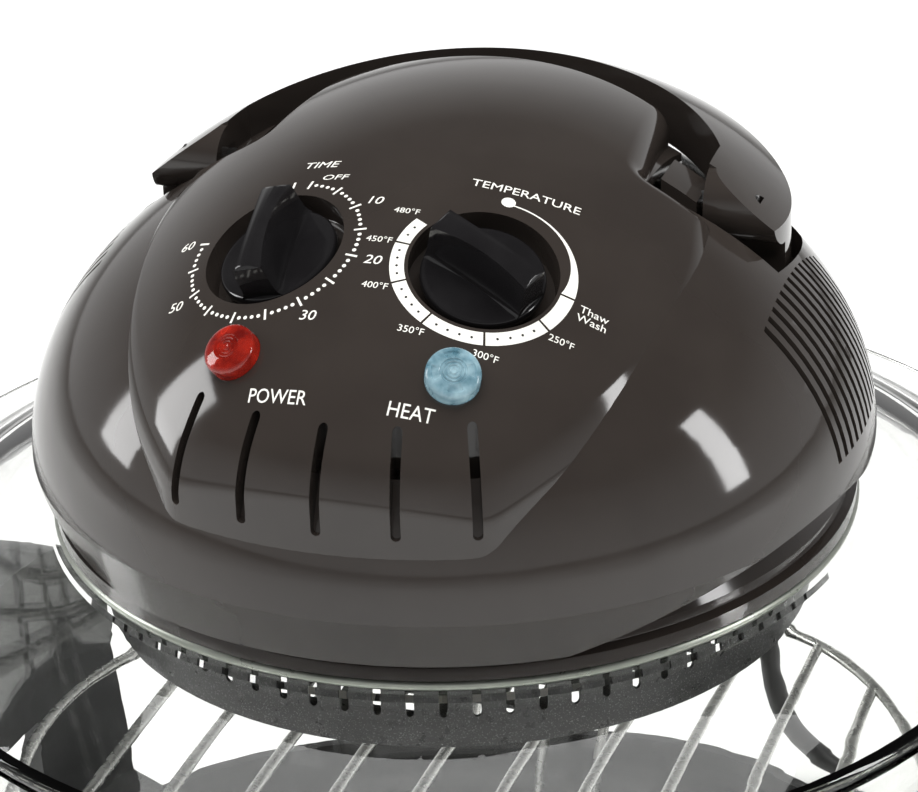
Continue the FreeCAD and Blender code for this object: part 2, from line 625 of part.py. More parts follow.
def lower_housing():
    low = up(SKIRT_H)
    outer = dome(HOUSING_R, HOUSING_RISE, SKIRT_R, low)
    inner = dome(HOUSING_R - HOUSING_WALL, HOUSING_RISE - HOUSING_WALL, SKIRT_R - HOUSING_WALL,
                 low - 1)
    inner = inner.cut(channel(HOUSING_WALL))
    shell = outer.cut(inner)
    post_low = up(plate_low_h() + PLATE_T)
    posts = [Part.makeCylinder(POST_R, 90, place + Vector(0, 0, post_low))
             for place in post_screw_places(POST_CIRCLE_R)]
    boss = both_sides(block(9, 14, 24, Vector(57.5, PIVOT_Y, up(PIVOT_H) - 4)))
    shell = shell.fuse([post.common(outer) for post in posts])
    shell = shell.cut(channel()).fuse(boss.common(panel_crown(PANEL_WALL + 0.5)))
    bores = [Part.makeCylinder(POST_BORE_R, 16, place + Vector(0, 0, post_low - 1))
             for place in post_screw_places(POST_CIRCLE_R)]
    opening = prism(panel_outline(8.0), up(WAIST_H + 6), up(130))
    arch_r = ((ARCH_SPAN / 2) ** 2 + ARCH_RISE ** 2) / (2 * ARCH_RISE)
    arch = Part.makeCylinder(arch_r, 300, Vector(-150, ARCH_Y, low + ARCH_RISE - arch_r), X_AXIS)
    pin_hole = rod(Vector(-90, PIVOT_Y, up(PIVOT_H)), Vector(90, PIVOT_Y, up(PIVOT_H)), PIVOT_R)
    ribs = []
    for i in range(RIB_COUNT):
        y = (i - (RIB_COUNT - 1) / 2) * RIB_PITCH + 7
        ribs.append(block(22, RIB_W, 60, Vector(97, y, up(60))))
    gland = Part.makeCylinder(GLAND_R, 20, Vector(0, HOUSING_R - 12, up(GLAND_H)), Vector(0, 1, 0))
    shell = shell.cut(Part.makeCompound(bores + [opening, arch, pin_hole.common(boss), gland]))
    return shell.cut(Part.makeCompound(ribs + [mirrored(rib) for rib in ribs]))


def control_panel():
    outline = panel_outline()
    body = prism(outline, up(WAIST_H + 8), up(120)).common(panel_crown())
    hollow = prism(panel_outline(PANEL_WALL), up(WAIST_H), up(120)).common(panel_crown(PANEL_WALL))
    shell = body.cut(hollow).cut(dome(HOUSING_R, HOUSING_RISE, SKIRT_R, up(SKIRT_H)))
    cups, wells = [], []
    for x, y in dial_places().values():
        cup = Part.makeCylinder(WELL_R + CUP_WALL, WELL_DEPTH + CUP_FLOOR,
                                Vector(0, 0, -WELL_DEPTH - CUP_FLOOR))
        cups.append(seated(cup, x, y).common(panel_crown()))
        well = Part.makeCylinder(WELL_R, WELL_DEPTH + 6, Vector(0, 0, -WELL_DEPTH))
        bore = Part.makeCylinder(KNOB_SHAFT_R + 0.6, 20, Vector(0, 0, -WELL_DEPTH - 10))
        wells.append(seated(well.fuse(bore), x, y))
    lamp_hole = Part.makeCylinder(LAMP_STEM_R + 0.2, 16, Vector(0, 0, -10))
    lamp_seat = Part.makeCylinder(LAMP_R + 0.15, 6, Vector(0, 0, -LAMP_SEAT))
    lamp_holes = [seated(lamp_hole.fuse(lamp_seat), x, LAMP_Y) for x in (-LAMP_X, LAMP_X)]
    vents = []
    for i in range(VENT_COUNT):
        vent = block(VENT_W, 24, 26, Vector(0, -NOSE_R + 2, up(52)))
        vents.append(turned_copy(vent, (i - (VENT_COUNT - 1) / 2) * VENT_STEP))
    shell = shell.fuse(cups)
    return shell.cut(Part.makeCompound(wells + lamp_holes)).cut(Part.makeCompound(vents))


def handle_band():
    """Plan of the D-shaped carry handle."""
    out_x, in_x = HANDLE_OUT_X, HANDLE_IN_X
    start_y = PIVOT_Y - PIVOT_END_R
    return [(in_x, start_y), (out_x, start_y), ((out_x + 0.5, 24), (out_x - 6, 44)),
            ((out_x * 0.62, HANDLE_BACK_Y - 12), (0, HANDLE_BACK_Y)),
            ((-out_x * 0.62, HANDLE_BACK_Y - 12), (-out_x + 6, 44)),
            ((-out_x - 0.5, 24), (-out_x, start_y)), (-in_x, start_y), (-in_x + 1, 30),
            ((0, HANDLE_FRONT_BAR_Y), (in_x - 1, 30))]


def carry_handle():
    band = prism(plan_wire(handle_band()), up(WAIST_H), up(130))
    body = band.common(handle_crown()).cut(handle_crown(HANDLE_T))
    pivot = Vector(-100, PIVOT_Y, up(PIVOT_H))
    front = Part.makeBox(200, 40, 120, Vector(-100, PIVOT_Y - 40, up(20)))
    front = front.cut(Part.makeCylinder(PIVOT_END_R, 200, pivot, X_AXIS))
    bore = rod(Vector(HANDLE_IN_X - 3, PIVOT_Y, up(PIVOT_H)),
               Vector(HANDLE_OUT_X - 5, PIVOT_Y, up(PIVOT_H)), PIVOT_R + RUN_GAP)
    return body.cut(front).cut(both_sides(bore))


def handle_pins():
    pin = rod(Vector(53, PIVOT_Y, up(PIVOT_H)), Vector(HANDLE_OUT_X - 6, PIVOT_Y, up(PIVOT_H)), PIVOT_R)
    return both_sides(pin)


def housing_screws():
    low = up(plate_low_h())
    pieces = []
    for place in post_screw_places(POST_CIRCLE_R):
        shank = Part.makeCylinder(1.8, 14, place + Vector(0, 0, low))
        head = Part.makeCylinder(POST_HEAD_R, POST_HEAD_H, place + Vector(0, 0, low - POST_HEAD_H))
        pieces.append(shank.fuse(head))
    return Part.makeCompound(pieces)


# ---- controls -----------------------------------------------------------------------------
def knob_shape(pointer):
    """Disc with a raised wing grip, its long way turned to the pointer angle."""
    top = -3.0
    disc = Part.makeCylinder(KNOB_R, KNOB_DISC_T, Vector(0, 0, top - KNOB_DISC_T))
    hub = Part.makeCylinder(6.0, 2.0, Vector(0, 0, top - KNOB_DISC_T - 2))
    reach = KNOB_WING_L / 2
    steps = [(-reach, top - 0.5), (reach, top - 0.5), (reach, top + KNOB_WING_H - 2.5),
             ((0, top + KNOB_WING_H), (-reach, top + KNOB_WING_H - 2.5))]
    wire = Part.Wire(edges_through(steps, lambda y, z: Vector(0, y, z)))
    wing = Part.Face(wire).extrude(Vector(KNOB_WING_W, 0, 0))
    wing.translate(Vector(-KNOB_WING_W / 2, 0, 0))
    knob = fuse_all([disc, hub, wing.common(Part.makeCylinder(KNOB_R, 40, Vector(0, 0, -20)))])
    bore = Part.makeCylinder(KNOB_SHAFT_R, WELL_DEPTH, Vector(0, 0, -WELL_DEPTH - 5))
    knob = knob.cut(bore)
    knob.rotate(ORIGIN, Z_AXIS, pointer)
    return knob


def knob_shaft():
    return Part.makeCylinder(KNOB_SHAFT_R, 12.5, Vector(0, 0, -WELL_DEPTH - 8.5))


def control_body(size, depth):
    """Switch body under a well, bored for its shaft."""
    top = -WELL_DEPTH - CUP_FLOOR - 0.2
    body = Part.makeBox(size, size, depth, Vector(-size / 2, -size / 2, top - depth))
    bore = Part.makeCylinder(KNOB_SHAFT_R + RUN_GAP, 14, Vector(0, 0, top - 7))
    return body.cut(bore)


def lamp_lens():
    """Jewel lens: low spherical cap, let into the panel, with a stem through it."""
    edge_h, top_h = 1.8, 4.2
    rise = top_h - edge_h
    ball_r = (LAMP_R ** 2 + rise ** 2) / (2 * rise)
    half = math.asin(LAMP_R / ball_r) / 2
    through = (ball_r * math.sin(half), top_h - ball_r * (1 - math.cos(half)))
    return turned([(0, -7), (LAMP_STEM_R, -7), (LAMP_STEM_R, -LAMP_SEAT), (LAMP_R, -LAMP_SEAT),
                   (LAMP_R, edge_h), (through, (0, top_h))])


def lamp_holder():
    return tube(LAMP_STEM_R + 0.4, 2.0, -17, -7.0)


def safety_switch():
    return block(20, 8, 12, Vector(0, 34, up(84)))


def terminal_block():
    return block(30, 10, 10, Vector(0, 84, up(34)))


# ---- cord ---------------------------------------------------------------------------------
def rounded_path(points):
    """Straight runs joined by tangent arcs, each as large as its two runs allow."""
    knots = [Vector(*point) for point in points]
    edges, here, radii = [], knots[0], []
    for i in range(1, len(knots) - 1):
        before, corner, after = knots[i - 1], knots[i], knots[i + 1]
        back, ahead = (before - corner), (after - corner)
        reach = CORD_BEND * min(back.Length, ahead.Length)
        back.normalize()
        ahead.normalize()
        half_turn = (math.pi - back.getAngle(ahead)) / 2
        start, end = corner + back * reach, corner + ahead * reach
        bisector = (back + ahead).normalize()
        radius = reach / math.tan(half_turn)
        centre_distance = radius / math.cos(half_turn)
        middle = corner + bisector * (centre_distance - radius)
        edges.append(Part.LineSegment(here, start).toShape())
        edges.append(Part.Arc(start, middle, end).toShape())
        radii.append(radius)
        here = end
    edges.append(Part.LineSegment(here, knots[-1]).toShape())
    print("cord radii", " ".join(f"{radius:.0f}" for radius in radii))
    return Part.Wire(edges)


def power_cord():
    path = rounded_path(CORD_POINTS)
    direction = Vector(*CORD_POINTS[1]) - Vector(*CORD_POINTS[0])
    profile = Part.Wire(Part.makeCircle(CORD_R, Vector(*CORD_POINTS[0]), direction))
    sweep = path.makePipeShell([profile], True, True)
    ideal = math.pi * CORD_R ** 2 * path.Length
    print(f"cord tube length {path.Length:.0f} mm, volume ratio {sweep.Volume / ideal:.4f}")
    return sweep


def strain_relief():
    """Tapered sleeve from the housing's rear wall."""
    start_y = HOUSING_R - 5
    z = up(GLAND_H)
    body = Part.makeCone(GLAND_R - 0.1, CORD_R + 1.2, CORD_POINTS[0][1] + 12 - start_y,
                         Vector(0, start_y, z), Vector(0, 1, 0))
    collar = Part.makeCylinder(GLAND_R + 2.5, 2.5, Vector(0, HOUSING_R + 0.4, z), Vector(0, 1, 0))
    start = Vector(*CORD_POINTS[0])
    bore = Part.makeCylinder(CORD_R, 40, start, Vector(0, 1, 0))
    return body.fuse(collar).cut(bore)


def cord_coil():
    coil = tube(COIL_R_OUT, COIL_R_IN, COIL_LIFT, COIL_H)
    coil.translate(Vector(COIL_X, COIL_Y, 0))
    return coil


def mains_plug():
    """Moulded two-blade plug lying on the coil, its blades forward."""
    x, y, z = COIL_X + PLUG_X, COIL_Y - PLUG_L, COIL_H + PLUG_H / 2
    body = Part.makeBox(PLUG_W, PLUG_L, PLUG_H, Vector(x - PLUG_W / 2, y, COIL_H))
    blade = Part.makeBox(PLUG_BLADE_T, PLUG_BLADE_L, PLUG_BLADE_W,
                         Vector(x - PLUG_BLADE_T / 2, y - PLUG_BLADE_L, z - PLUG_BLADE_W / 2))
    blades = []
    for side in (-1, 1):
        blades.append(blade.translated(Vector(side * PLUG_BLADE_PITCH / 2, 0, 0)))
    return fuse_all([body] + blades)


# ---- write every piece --------------------------------------------------------------------
def main():
    save("base_shell", base_shell())
    handle = base_handle()
    save("base_handle_right", handle)
    save("base_handle_left", mirrored(handle))
    save("base_screws", base_screws())
    save("base_feet", base_feet())
    save("glass_bowl", glass_bowl())
    save("wire_rack", wire_rack())
    save("glass_lid", glass_lid())
    save("lid_gasket", lid_gasket())
    save("trim_ring", trim_ring())
    save("flange_ring", flange_ring())
    save("motor_plate", motor_plate())
    save("housing_liner", housing_liner())
    save("perforated_drum", perforated_drum())
    save("drum_guard", drum_guard())
    save("heat_shield", heat_shield())
    save("heating_ring", heating_ring())
    save("heater_ends", heater_ends())
    save("heater_clips", heater_clips())
    save("fan_shaft", fan_shaft())
    save("convection_fan", convection_fan())
    save("cooling_fan", cooling_fan())
    save("motor_stator", motor_stator())
    save("motor_rotor", motor_rotor())
    save("motor_coil", motor_coil())
    save("motor_legs", motor_legs())
    save("motor_bearing", motor_bearing())
    save("lower_housing", lower_housing())
    save("control_panel", control_panel())
    save("carry_handle", carry_handle())
    save("handle_pins", handle_pins())
    save("housing_screws", housing_screws())
    save("safety_switch", safety_switch())
    save("terminal_block", terminal_block())
    for name, (x, y) in dial_places().items():
        pointer = 0.0 if name == "timer" else 70.0
        save(f"{name}_knob", seated(knob_shape(pointer), x, y))
        save(f"{name}_shaft", seated(knob_shaft(), x, y))
        save(f"{name}_body", seated(control_body(34.0, 18.0), x, y))
    for name, x in (("power", -LAMP_X), ("heat", LAMP_X)):
        save(f"{name}_lamp_lens", seated(lamp_lens(), x, LAMP_Y))
    save("lamp_holders", Part.makeCompound([seated(lamp_holder(), x, LAMP_Y)
                                            for x in (-LAMP_X, LAMP_X)]))
    save("strain_relief", strain_relief())
    save("power_cord", power_cord())
    save("cord_coil", cord_coil())
    save("mains_plug", mains_plug())


main()
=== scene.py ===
import math

import bmesh
import bpy
from mathutils import Matrix, Vector


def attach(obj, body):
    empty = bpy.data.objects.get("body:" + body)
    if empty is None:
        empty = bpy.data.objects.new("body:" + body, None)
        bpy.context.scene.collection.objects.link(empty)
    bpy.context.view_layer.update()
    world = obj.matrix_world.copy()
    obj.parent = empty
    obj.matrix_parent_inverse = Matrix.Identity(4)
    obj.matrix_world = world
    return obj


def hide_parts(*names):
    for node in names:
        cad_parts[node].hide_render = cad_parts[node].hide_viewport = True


# Studio scene of the tabletop convection oven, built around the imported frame. Shapes are worked out
# in millimetres in the frame's own axes, and become metres when a mesh is made.
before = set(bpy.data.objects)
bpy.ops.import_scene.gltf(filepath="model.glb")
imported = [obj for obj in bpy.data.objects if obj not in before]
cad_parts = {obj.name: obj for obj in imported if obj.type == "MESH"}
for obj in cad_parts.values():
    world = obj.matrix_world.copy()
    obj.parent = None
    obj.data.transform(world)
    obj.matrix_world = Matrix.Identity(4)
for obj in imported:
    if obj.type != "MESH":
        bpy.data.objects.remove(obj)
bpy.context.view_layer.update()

MM = 0.001
COLLAR_Z = 216.0            # plane of the head's collar
WAIST_Z = 236.0             # widest plane of the domed housing

# ---- camera -------------------------------------------------------------------------------
CAMERA_LENS = 143.5
CAMERA_DISTANCE = 0.950     # from the collar's centre
CAMERA_AZIMUTH = 18.0       # degrees to the object's right
CAMERA_ELEVATION = 26.25
CAMERA_ROLL = 1.98          # degrees
SENSOR_WIDTH = 36.0
COLLAR_SIDE, COLLAR_DROP = -0.0007, 0.0247   # slopes at which the camera sees the collar's centre


def make_camera():
    azimuth, elevation = math.radians(CAMERA_AZIMUTH), math.radians(CAMERA_ELEVATION)
    roll = math.radians(CAMERA_ROLL)
    level = Vector((math.cos(azimuth), math.sin(azimuth), 0))
    ahead = Vector((-math.sin(azimuth), math.cos(azimuth), 0))
    forward = ahead * math.cos(elevation) - Vector((0, 0, math.sin(elevation)))
    upward = ahead * math.sin(elevation) + Vector((0, 0, math.cos(elevation)))
    right = level * math.cos(roll) - upward * math.sin(roll)
    top = level * math.sin(roll) + upward * math.cos(roll)
    sight = (right * COLLAR_SIDE - top * COLLAR_DROP + forward).normalized()
    collar = Vector((0, 0, COLLAR_Z * MM))
    camera = bpy.data.objects.new("camera", bpy.data.cameras.new("camera"))
    camera.data.lens = CAMERA_LENS
    camera.data.sensor_width = SENSOR_WIDTH
    turn = Matrix((right, top, -forward)).transposed().to_4x4()
    camera.matrix_world = Matrix.Translation(collar - sight * CAMERA_DISTANCE) @ turn
    bpy.context.scene.collection.objects.link(camera)
    bpy.context.scene.camera = camera


make_camera()

# ---- node helpers -------------------------------------------------------------------------


def fill_ramp(ramp, stops):
    """Give a colour ramp its stops, as pairs of position and colour."""
    while len(ramp.color_ramp.elements) < len(stops):
        ramp.color_ramp.elements.new(0.5)
    for element, (position, colour) in zip(ramp.color_ramp.elements, stops):
        element.position = position
        element.color = (*colour, 1)


class Finish:
    """A material with a Principled shader and short ways to add nodes to it."""

    def __init__(self, name, colour, roughness, **sockets):
        self.material = bpy.data.materials.new(name)
        self.material.use_nodes = True
        self.tree = self.material.node_tree
        self.shader = self.tree.nodes["Principled BSDF"]
        self.shader.inputs["Base Color"].default_value = (*colour, 1)
        self.shader.inputs["Roughness"].default_value = roughness
        for socket, value in sockets.items():
            self.shader.inputs[socket.replace("_", " ")].default_value = value

    def node(self, kind, **values):
        made = self.tree.nodes.new(kind)
        for name, value in values.items():
            if name in made.inputs:
                made.inputs[name].default_value = value
            else:
                setattr(made, name, value)
        return made

    def link(self, source, target):
        self.tree.links.new(source, target)

    def place(self):
        return self.node("ShaderNodeTexCoord").outputs["Object"]

    def noise(self, scale, detail=3.0, stretch=None):
        place = self.place()
        if stretch:
            mapping = self.node("ShaderNodeMapping")
            mapping.inputs["Scale"].default_value = stretch
            self.link(place, mapping.inputs["Vector"])
            place = mapping.outputs["Vector"]
        noise = self.node("ShaderNodeTexNoise", Scale=scale, Detail=detail)
        self.link(place, noise.inputs["Vector"])
        return noise.outputs["Fac"]

    def ramp(self, fac, stops):
        ramp = self.node("ShaderNodeValToRGB")
        fill_ramp(ramp, stops)
        self.link(fac, ramp.inputs["Fac"])
        return ramp.outputs["Color"]

    def spread(self, fac, low, high):
        """Stretch the middle of a noise's range between two values."""
        reach = self.node("ShaderNodeMapRange")
        reach.inputs["From Min"].default_value = 0.3
        reach.inputs["From Max"].default_value = 0.7
        reach.inputs["To Min"].default_value = low
        reach.inputs["To Max"].default_value = high
        self.link(fac, reach.inputs["Value"])
        return reach.outputs["Result"]

    def colour(self, source):
        self.link(source, self.shader.inputs["Base Color"])
        return self

    def roughness(self, source):
        self.link(source, self.shader.inputs["Roughness"])
        return self

    def bump(self, source, height, distance=0.0002):
        bump = self.node("ShaderNodeBump", Strength=height, Distance=distance)
        self.link(source, bump.inputs["Height"])
        self.link(bump.outputs["Normal"], self.shader.inputs["Normal"])
        return self


def grey(value):
    return (value, value, value)


def mottled(finish, low, high, scale=40.0):
    """Slow colour change between two shades."""
    return finish.colour(finish.ramp(finish.noise(scale), [(0.35, low), (0.65, high)]))


def gloss_black():
    made = Finish("gloss_black", (0.026, 0.021, 0.018), 0.09, IOR=1.5)
    mottled(made, (0.024, 0.0195, 0.017), (0.028, 0.023, 0.020))
    made.roughness(made.spread(made.noise(55.0, 5.0), 0.055, 0.11))
    return made.bump(made.noise(1800.0, 2.0), 0.012).material


def knob_black():
    made = Finish("knob_black", (0.008, 0.0075, 0.008), 0.09, IOR=1.5)
    mottled(made, (0.007, 0.0065, 0.007), (0.0095, 0.009, 0.0095), 90.0)
    made.roughness(made.spread(made.noise(120.0, 4.0), 0.07, 0.13))
    return made.bump(made.noise(2500.0, 2.0), 0.015).material


def satin_black():
    made = Finish("satin_black", (0.022, 0.022, 0.023), 0.42)
    mottled(made, (0.019, 0.019, 0.020), (0.027, 0.027, 0.028), 70.0)
    made.roughness(made.spread(made.noise(160.0, 4.0), 0.36, 0.5))
    return made.bump(made.noise(3500.0, 2.0), 0.12).material


def liner_black():
    made = Finish("liner_black", (0.01, 0.01, 0.01), 0.6)
    mottled(made, grey(0.008), grey(0.014), 60.0)
    return made.bump(made.noise(2500.0), 0.1).material


def speckled_enamel():
    made = Finish("speckled_enamel", grey(0.02), 0.32)
    specks = made.ramp(made.noise(2600.0, 1.0), [(0.60, grey(0.018)), (0.68, grey(0.14))])
    made.colour(specks)
    made.roughness(made.spread(made.noise(300.0), 0.25, 0.4))
    return made.bump(made.noise(1200.0, 2.0), 0.12).material


def clear_glass(name, tint, thickness_tint):
    """Clear glass that lets light straight through to what lies under it."""
    made = Finish(name, tint, 0.0, IOR=1.5, Transmission_Weight=1.0)
    made.roughness(made.spread(made.noise(25.0), 0.0, 0.012))
    path = made.node("ShaderNodeLightPath")
    clear = made.node("ShaderNodeBsdfTransparent", Color=(*thickness_tint, 1))
    mix = made.node("ShaderNodeMixShader")
    made.link(path.outputs["Is Shadow Ray"], mix.inputs["Fac"])
    made.link(made.shader.outputs["BSDF"], mix.inputs[1])
    made.link(clear.outputs["BSDF"], mix.inputs[2])
    made.link(mix.outputs["Shader"], made.tree.nodes["Material Output"].inputs["Surface"])
    return made.material


def metal(name, low, high, rough_low, rough_high, stretch=None, grain=0.02):
    made = Finish(name, low, rough_low, Metallic=1.0)
    mottled(made, low, high, 45.0)
    made.roughness(made.spread(made.noise(220.0, 4.0, stretch), rough_low, rough_high))
    return made.bump(made.noise(1500.0, 2.0, stretch), grain).material


def trim_chrome():
    made = Finish("trim_chrome", (0.34, 0.36, 0.32), 0.3, Metallic=1.0)
    mottled(made, (0.30, 0.32, 0.28), (0.38, 0.40, 0.36), 50.0)
    made.roughness(made.spread(made.noise(240.0), 0.26, 0.38))
    return made.bump(made.noise(1500.0), 0.02).material


def plain(name, low, high, rough_low, rough_high, scale=60.0, grain=0.05, **sockets):
    made = Finish(name, low, rough_low, **sockets)
    mottled(made, low, high, scale)
    made.roughness(made.spread(made.noise(scale * 3, 4.0), rough_low, rough_high))
    return made.bump(made.noise(scale * 30, 2.0), grain).material


def jewel(name, deep, bright, glow):
    """Coloured clear plastic over a lit lamp."""
    made = Finish(name, bright, 0.06, IOR=1.49, Transmission_Weight=0.55,
                  Emission_Strength=glow)
    shade = made.ramp(made.noise(260.0), [(0.3, deep), (0.7, bright)])
    made.colour(shade)
    made.link(shade, made.shader.inputs["Emission Color"])
    return made.bump(made.noise(900.0), 0.05).material


def build_materials():
    return {
        "gloss_black": gloss_black(),
        "knob_black": knob_black(),
        "satin_black": satin_black(),
        "liner_black": liner_black(),
        "speckled_enamel": speckled_enamel(),
        "clear_glass": clear_glass("clear_glass", (0.97, 0.975, 0.965), (0.93, 0.94, 0.925)),
        "rack_chrome": metal("rack_chrome", (0.52, 0.52, 0.50), (0.60, 0.60, 0.58), 0.2, 0.34, None, 0.002),
        "trim_chrome": trim_chrome(),
        "silicone": plain("silicone", (0.42, 0.44, 0.38), (0.5, 0.52, 0.46), 0.4, 0.55),
        "plated_steel": metal("plated_steel", grey(0.5), grey(0.6), 0.22, 0.36, (1, 1, 12)),
        "screw_steel": metal("screw_steel", grey(0.5), grey(0.62), 0.3, 0.42),
        "quartz_tube": plain("quartz_tube", (0.75, 0.72, 0.68), (0.85, 0.82, 0.78), 0.3, 0.45),
        "ceramic": plain("ceramic", (0.72, 0.70, 0.64), (0.82, 0.80, 0.75), 0.6, 0.8, 90.0),
        "fan_aluminium": metal("fan_aluminium", grey(0.6), grey(0.72), 0.3, 0.44),
        "laminated_steel": metal("laminated_steel", grey(0.2), grey(0.3), 0.4, 0.55, (1, 1, 40)),
        "copper_winding": metal("copper_winding", (0.5, 0.22, 0.1), (0.62, 0.3, 0.15), 0.3, 0.45,
                                (40, 1, 1)),
        "bearing_bronze": metal("bearing_bronze", (0.4, 0.28, 0.12), (0.5, 0.36, 0.17), 0.3, 0.4),
        "switch_grey": plain("switch_grey", grey(0.3), grey(0.36), 0.45, 0.6),
        "red_lens": jewel("red_lens", (0.16, 0.006, 0.004), (0.5, 0.025, 0.012), 0.16),
        "blue_lens": jewel("blue_lens", (0.10, 0.22, 0.28), (0.42, 0.62, 0.70), 0.22),
        "cord_black": plain("cord_black", grey(0.012), grey(0.017), 0.4, 0.55, 200.0, 0.15),
        "foot_rubber": plain("foot_rubber", grey(0.018), grey(0.026), 0.7, 0.85, 120.0, 0.2),
        "print_white": plain("print_white", (0.68, 0.67, 0.62), (0.74, 0.73, 0.68), 0.45, 0.6),
        "print_black": plain("print_black", grey(0.012), grey(0.016), 0.35, 0.5),
        "floor": plain("floor", (0.86, 0.86, 0.85), (0.88, 0.88, 0.87), 0.7, 0.8, 3.0, 0.0),
    }


LOOKS = build_materials()


# ---- mesh helpers -------------------------------------------------------------------------
SAME_POINT = 1e-7           # metres


def mesh_object(name, verts, faces, weld=False):
    """A linked object from points in millimetres, its faces turned outward."""
    mesh = bpy.data.meshes.new(name)
    mesh.from_pydata([Vector(v) * MM for v in verts], [], faces)
    obj = bpy.data.objects.new(name, mesh)
    bpy.context.scene.collection.objects.link(obj)
    work = bmesh.new()
    work.from_mesh(mesh)
    if weld:
        bmesh.ops.remove_doubles(work, verts=work.verts, dist=SAME_POINT)
    bmesh.ops.recalc_face_normals(work, faces=work.faces)
    work.to_mesh(mesh)
    work.free()
    return obj


def piece(name, verts, faces, body, look, sharp, slot=None):
    """A smooth mesh piece with edges sharper than an angle kept, riding on a body."""
    obj = mesh_object(name, verts, faces, weld=True)
    obj.data.shade_smooth()
    obj.data.set_sharp_from_angle(angle=math.radians(sharp))
    obj.data.materials.clear()
    obj.data.materials.append(LOOKS[look])
    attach(obj, body)
    return obj


def arc_through(start, through, end, count):
    """Points after start, on the circle through three points, up to end."""
    (ax, ay), (bx, by), (cx, cy) = start, through, end
    d = 2 * (ax * (by - cy) + bx * (cy - ay) + cx * (ay - by))
    a2, b2, c2 = ax * ax + ay * ay, bx * bx + by * by, cx * cx + cy * cy
    ox = (a2 * (by - cy) + b2 * (cy - ay) + c2 * (ay - by)) / d
    oy = (a2 * (cx - bx) + b2 * (ax - cx) + c2 * (bx - ax)) / d
    radius = math.hypot(ax - ox, ay - oy)
    first = math.atan2(ay - oy, ax - ox)
    middle = (math.atan2(by - oy, bx - ox) - first) % (2 * math.pi)
    last = (math.atan2(cy - oy, cx - ox) - first) % (2 * math.pi)
    sweep = last if middle <= last else last - 2 * math.pi
    turns = [first + sweep * (i + 1) / count for i in range(count)]
    return [(ox + radius * math.cos(t), oy + radius * math.sin(t)) for t in turns]


def outline(steps, spacing=2.0):
    """Closed outline: a pair is a straight step, a pair of pairs an arc (through, to)."""
    points = [steps[0]]
    for step in list(steps[1:]) + [steps[0]]:
        here = points[-1]
        if isinstance(step[0], tuple):
            length = math.dist(here, step[0]) + math.dist(step[0], step[1])
            points += arc_through(here, step[0], step[1], max(2, int(length / spacing)))
        else:
            count = max(1, int(math.dist(here, step) / spacing))
            points += [(here[0] + (step[0] - here[0]) * (i + 1) / count,
                        here[1] + (step[1] - here[1]) * (i + 1) / count) for i in range(count)]
    return points[:-1] if math.dist(points[0], points[-1]) < 1e-6 else points


def evened(points, count):
    """The same closed line with evenly spaced points."""
    lengths = [0.0]
    closed = points + [points[0]]
    for a, b in zip(closed, closed[1:]):
        lengths.append(lengths[-1] + math.dist(a, b))
    made, k = [], 0
    for i in range(count):
        goal = lengths[-1] * i / count
        while lengths[k + 1] < goal:
            k += 1
        share = (goal - lengths[k]) / (lengths[k + 1] - lengths[k])
        a, b = closed[k], closed[k + 1]
        made.append((a[0] + (b[0] - a[0]) * share, a[1] + (b[1] - a[1]) * share))
    return made


def softened(points, reach):
    """A closed evenly spaced line with its corners rounded by a moving average."""
    count = len(points)
    step = math.dist(points[0], points[1])
    half = max(1, int(3 * reach / step))
    weights = [math.exp(-((k * step / reach) ** 2) / 2) for k in range(-half, half + 1)]
    total = sum(weights)
    made = []
    for i in range(count):
        x = sum(w * points[(i + k) % count][0] for k, w in zip(range(-half, half + 1), weights))
        y = sum(w * points[(i + k) % count][1] for k, w in zip(range(-half, half + 1), weights))
        made.append((x / total, y / total))
    return made


def ringed(rings):
    """Faces between rings of equal length. A ring of one point is a pole."""
    verts, faces, starts = [], [], []
    for ring in rings:
        starts.append(len(verts))
        verts += ring
    for a, b in zip(range(len(rings)), range(1, len(rings))):
        low, high = rings[a], rings[b]
        count = max(len(low), len(high))
        for i in range(count):
            j = (i + 1) % count
            if len(low) == 1:
                faces.append((starts[a], starts[b] + i, starts[b] + j))
            elif len(high) == 1:
                faces.append((starts[a] + j, starts[a] + i, starts[b]))
            else:
                faces.append((starts[a] + j, starts[a] + i, starts[b] + i, starts[b] + j))
    return verts, faces


def cut_with(target, cutters):
    """Subtract cutter objects, and keep the result as the mesh."""
    for cutter in cutters:
        modifier = target.modifiers.new("cut", "BOOLEAN")
        modifier.object = cutter
        modifier.solver = "EXACT"
    bpy.context.view_layer.update()
    made = bpy.data.meshes.new_from_object(target.evaluated_get(
        bpy.context.evaluated_depsgraph_get()))
    target.modifiers.clear()
    target.data = made
    for cutter in cutters:
        bpy.data.objects.remove(cutter)


# ---- crowns of the head -------------------------------------------------------------------
PANEL_RADII = (100.0, 126.0, 84.0)
DOME_R, DOME_RISE, DOME_POWER = 108.0, 76.5, 2.0
CROWN_Y, CROWN_BASE_Z = 10.0, 236.0


def crown_z(x, y, shrink=0.0):
    rx, ry, rz = (r - shrink for r in PANEL_RADII)
    share = 1 - (x / rx) ** 2 - ((y - CROWN_Y) / ry) ** 2
    return CROWN_BASE_Z + rz * math.sqrt(max(share, 0.0))


def dome_z(x, y, shrink=0.0):
    radius, rise = DOME_R - shrink, DOME_RISE - shrink
    share = 1 - (math.hypot(x, y) / radius) ** DOME_POWER
    return WAIST_Z + rise * max(share, 0.0) ** (1 / DOME_POWER)


def crown_normal(x, y):
    rx, ry, rz = PANEL_RADII
    z = crown_z(x, y) - CROWN_BASE_Z
    return Vector((x / rx ** 2, (y - CROWN_Y) / ry ** 2, z / rz ** 2)).normalized()


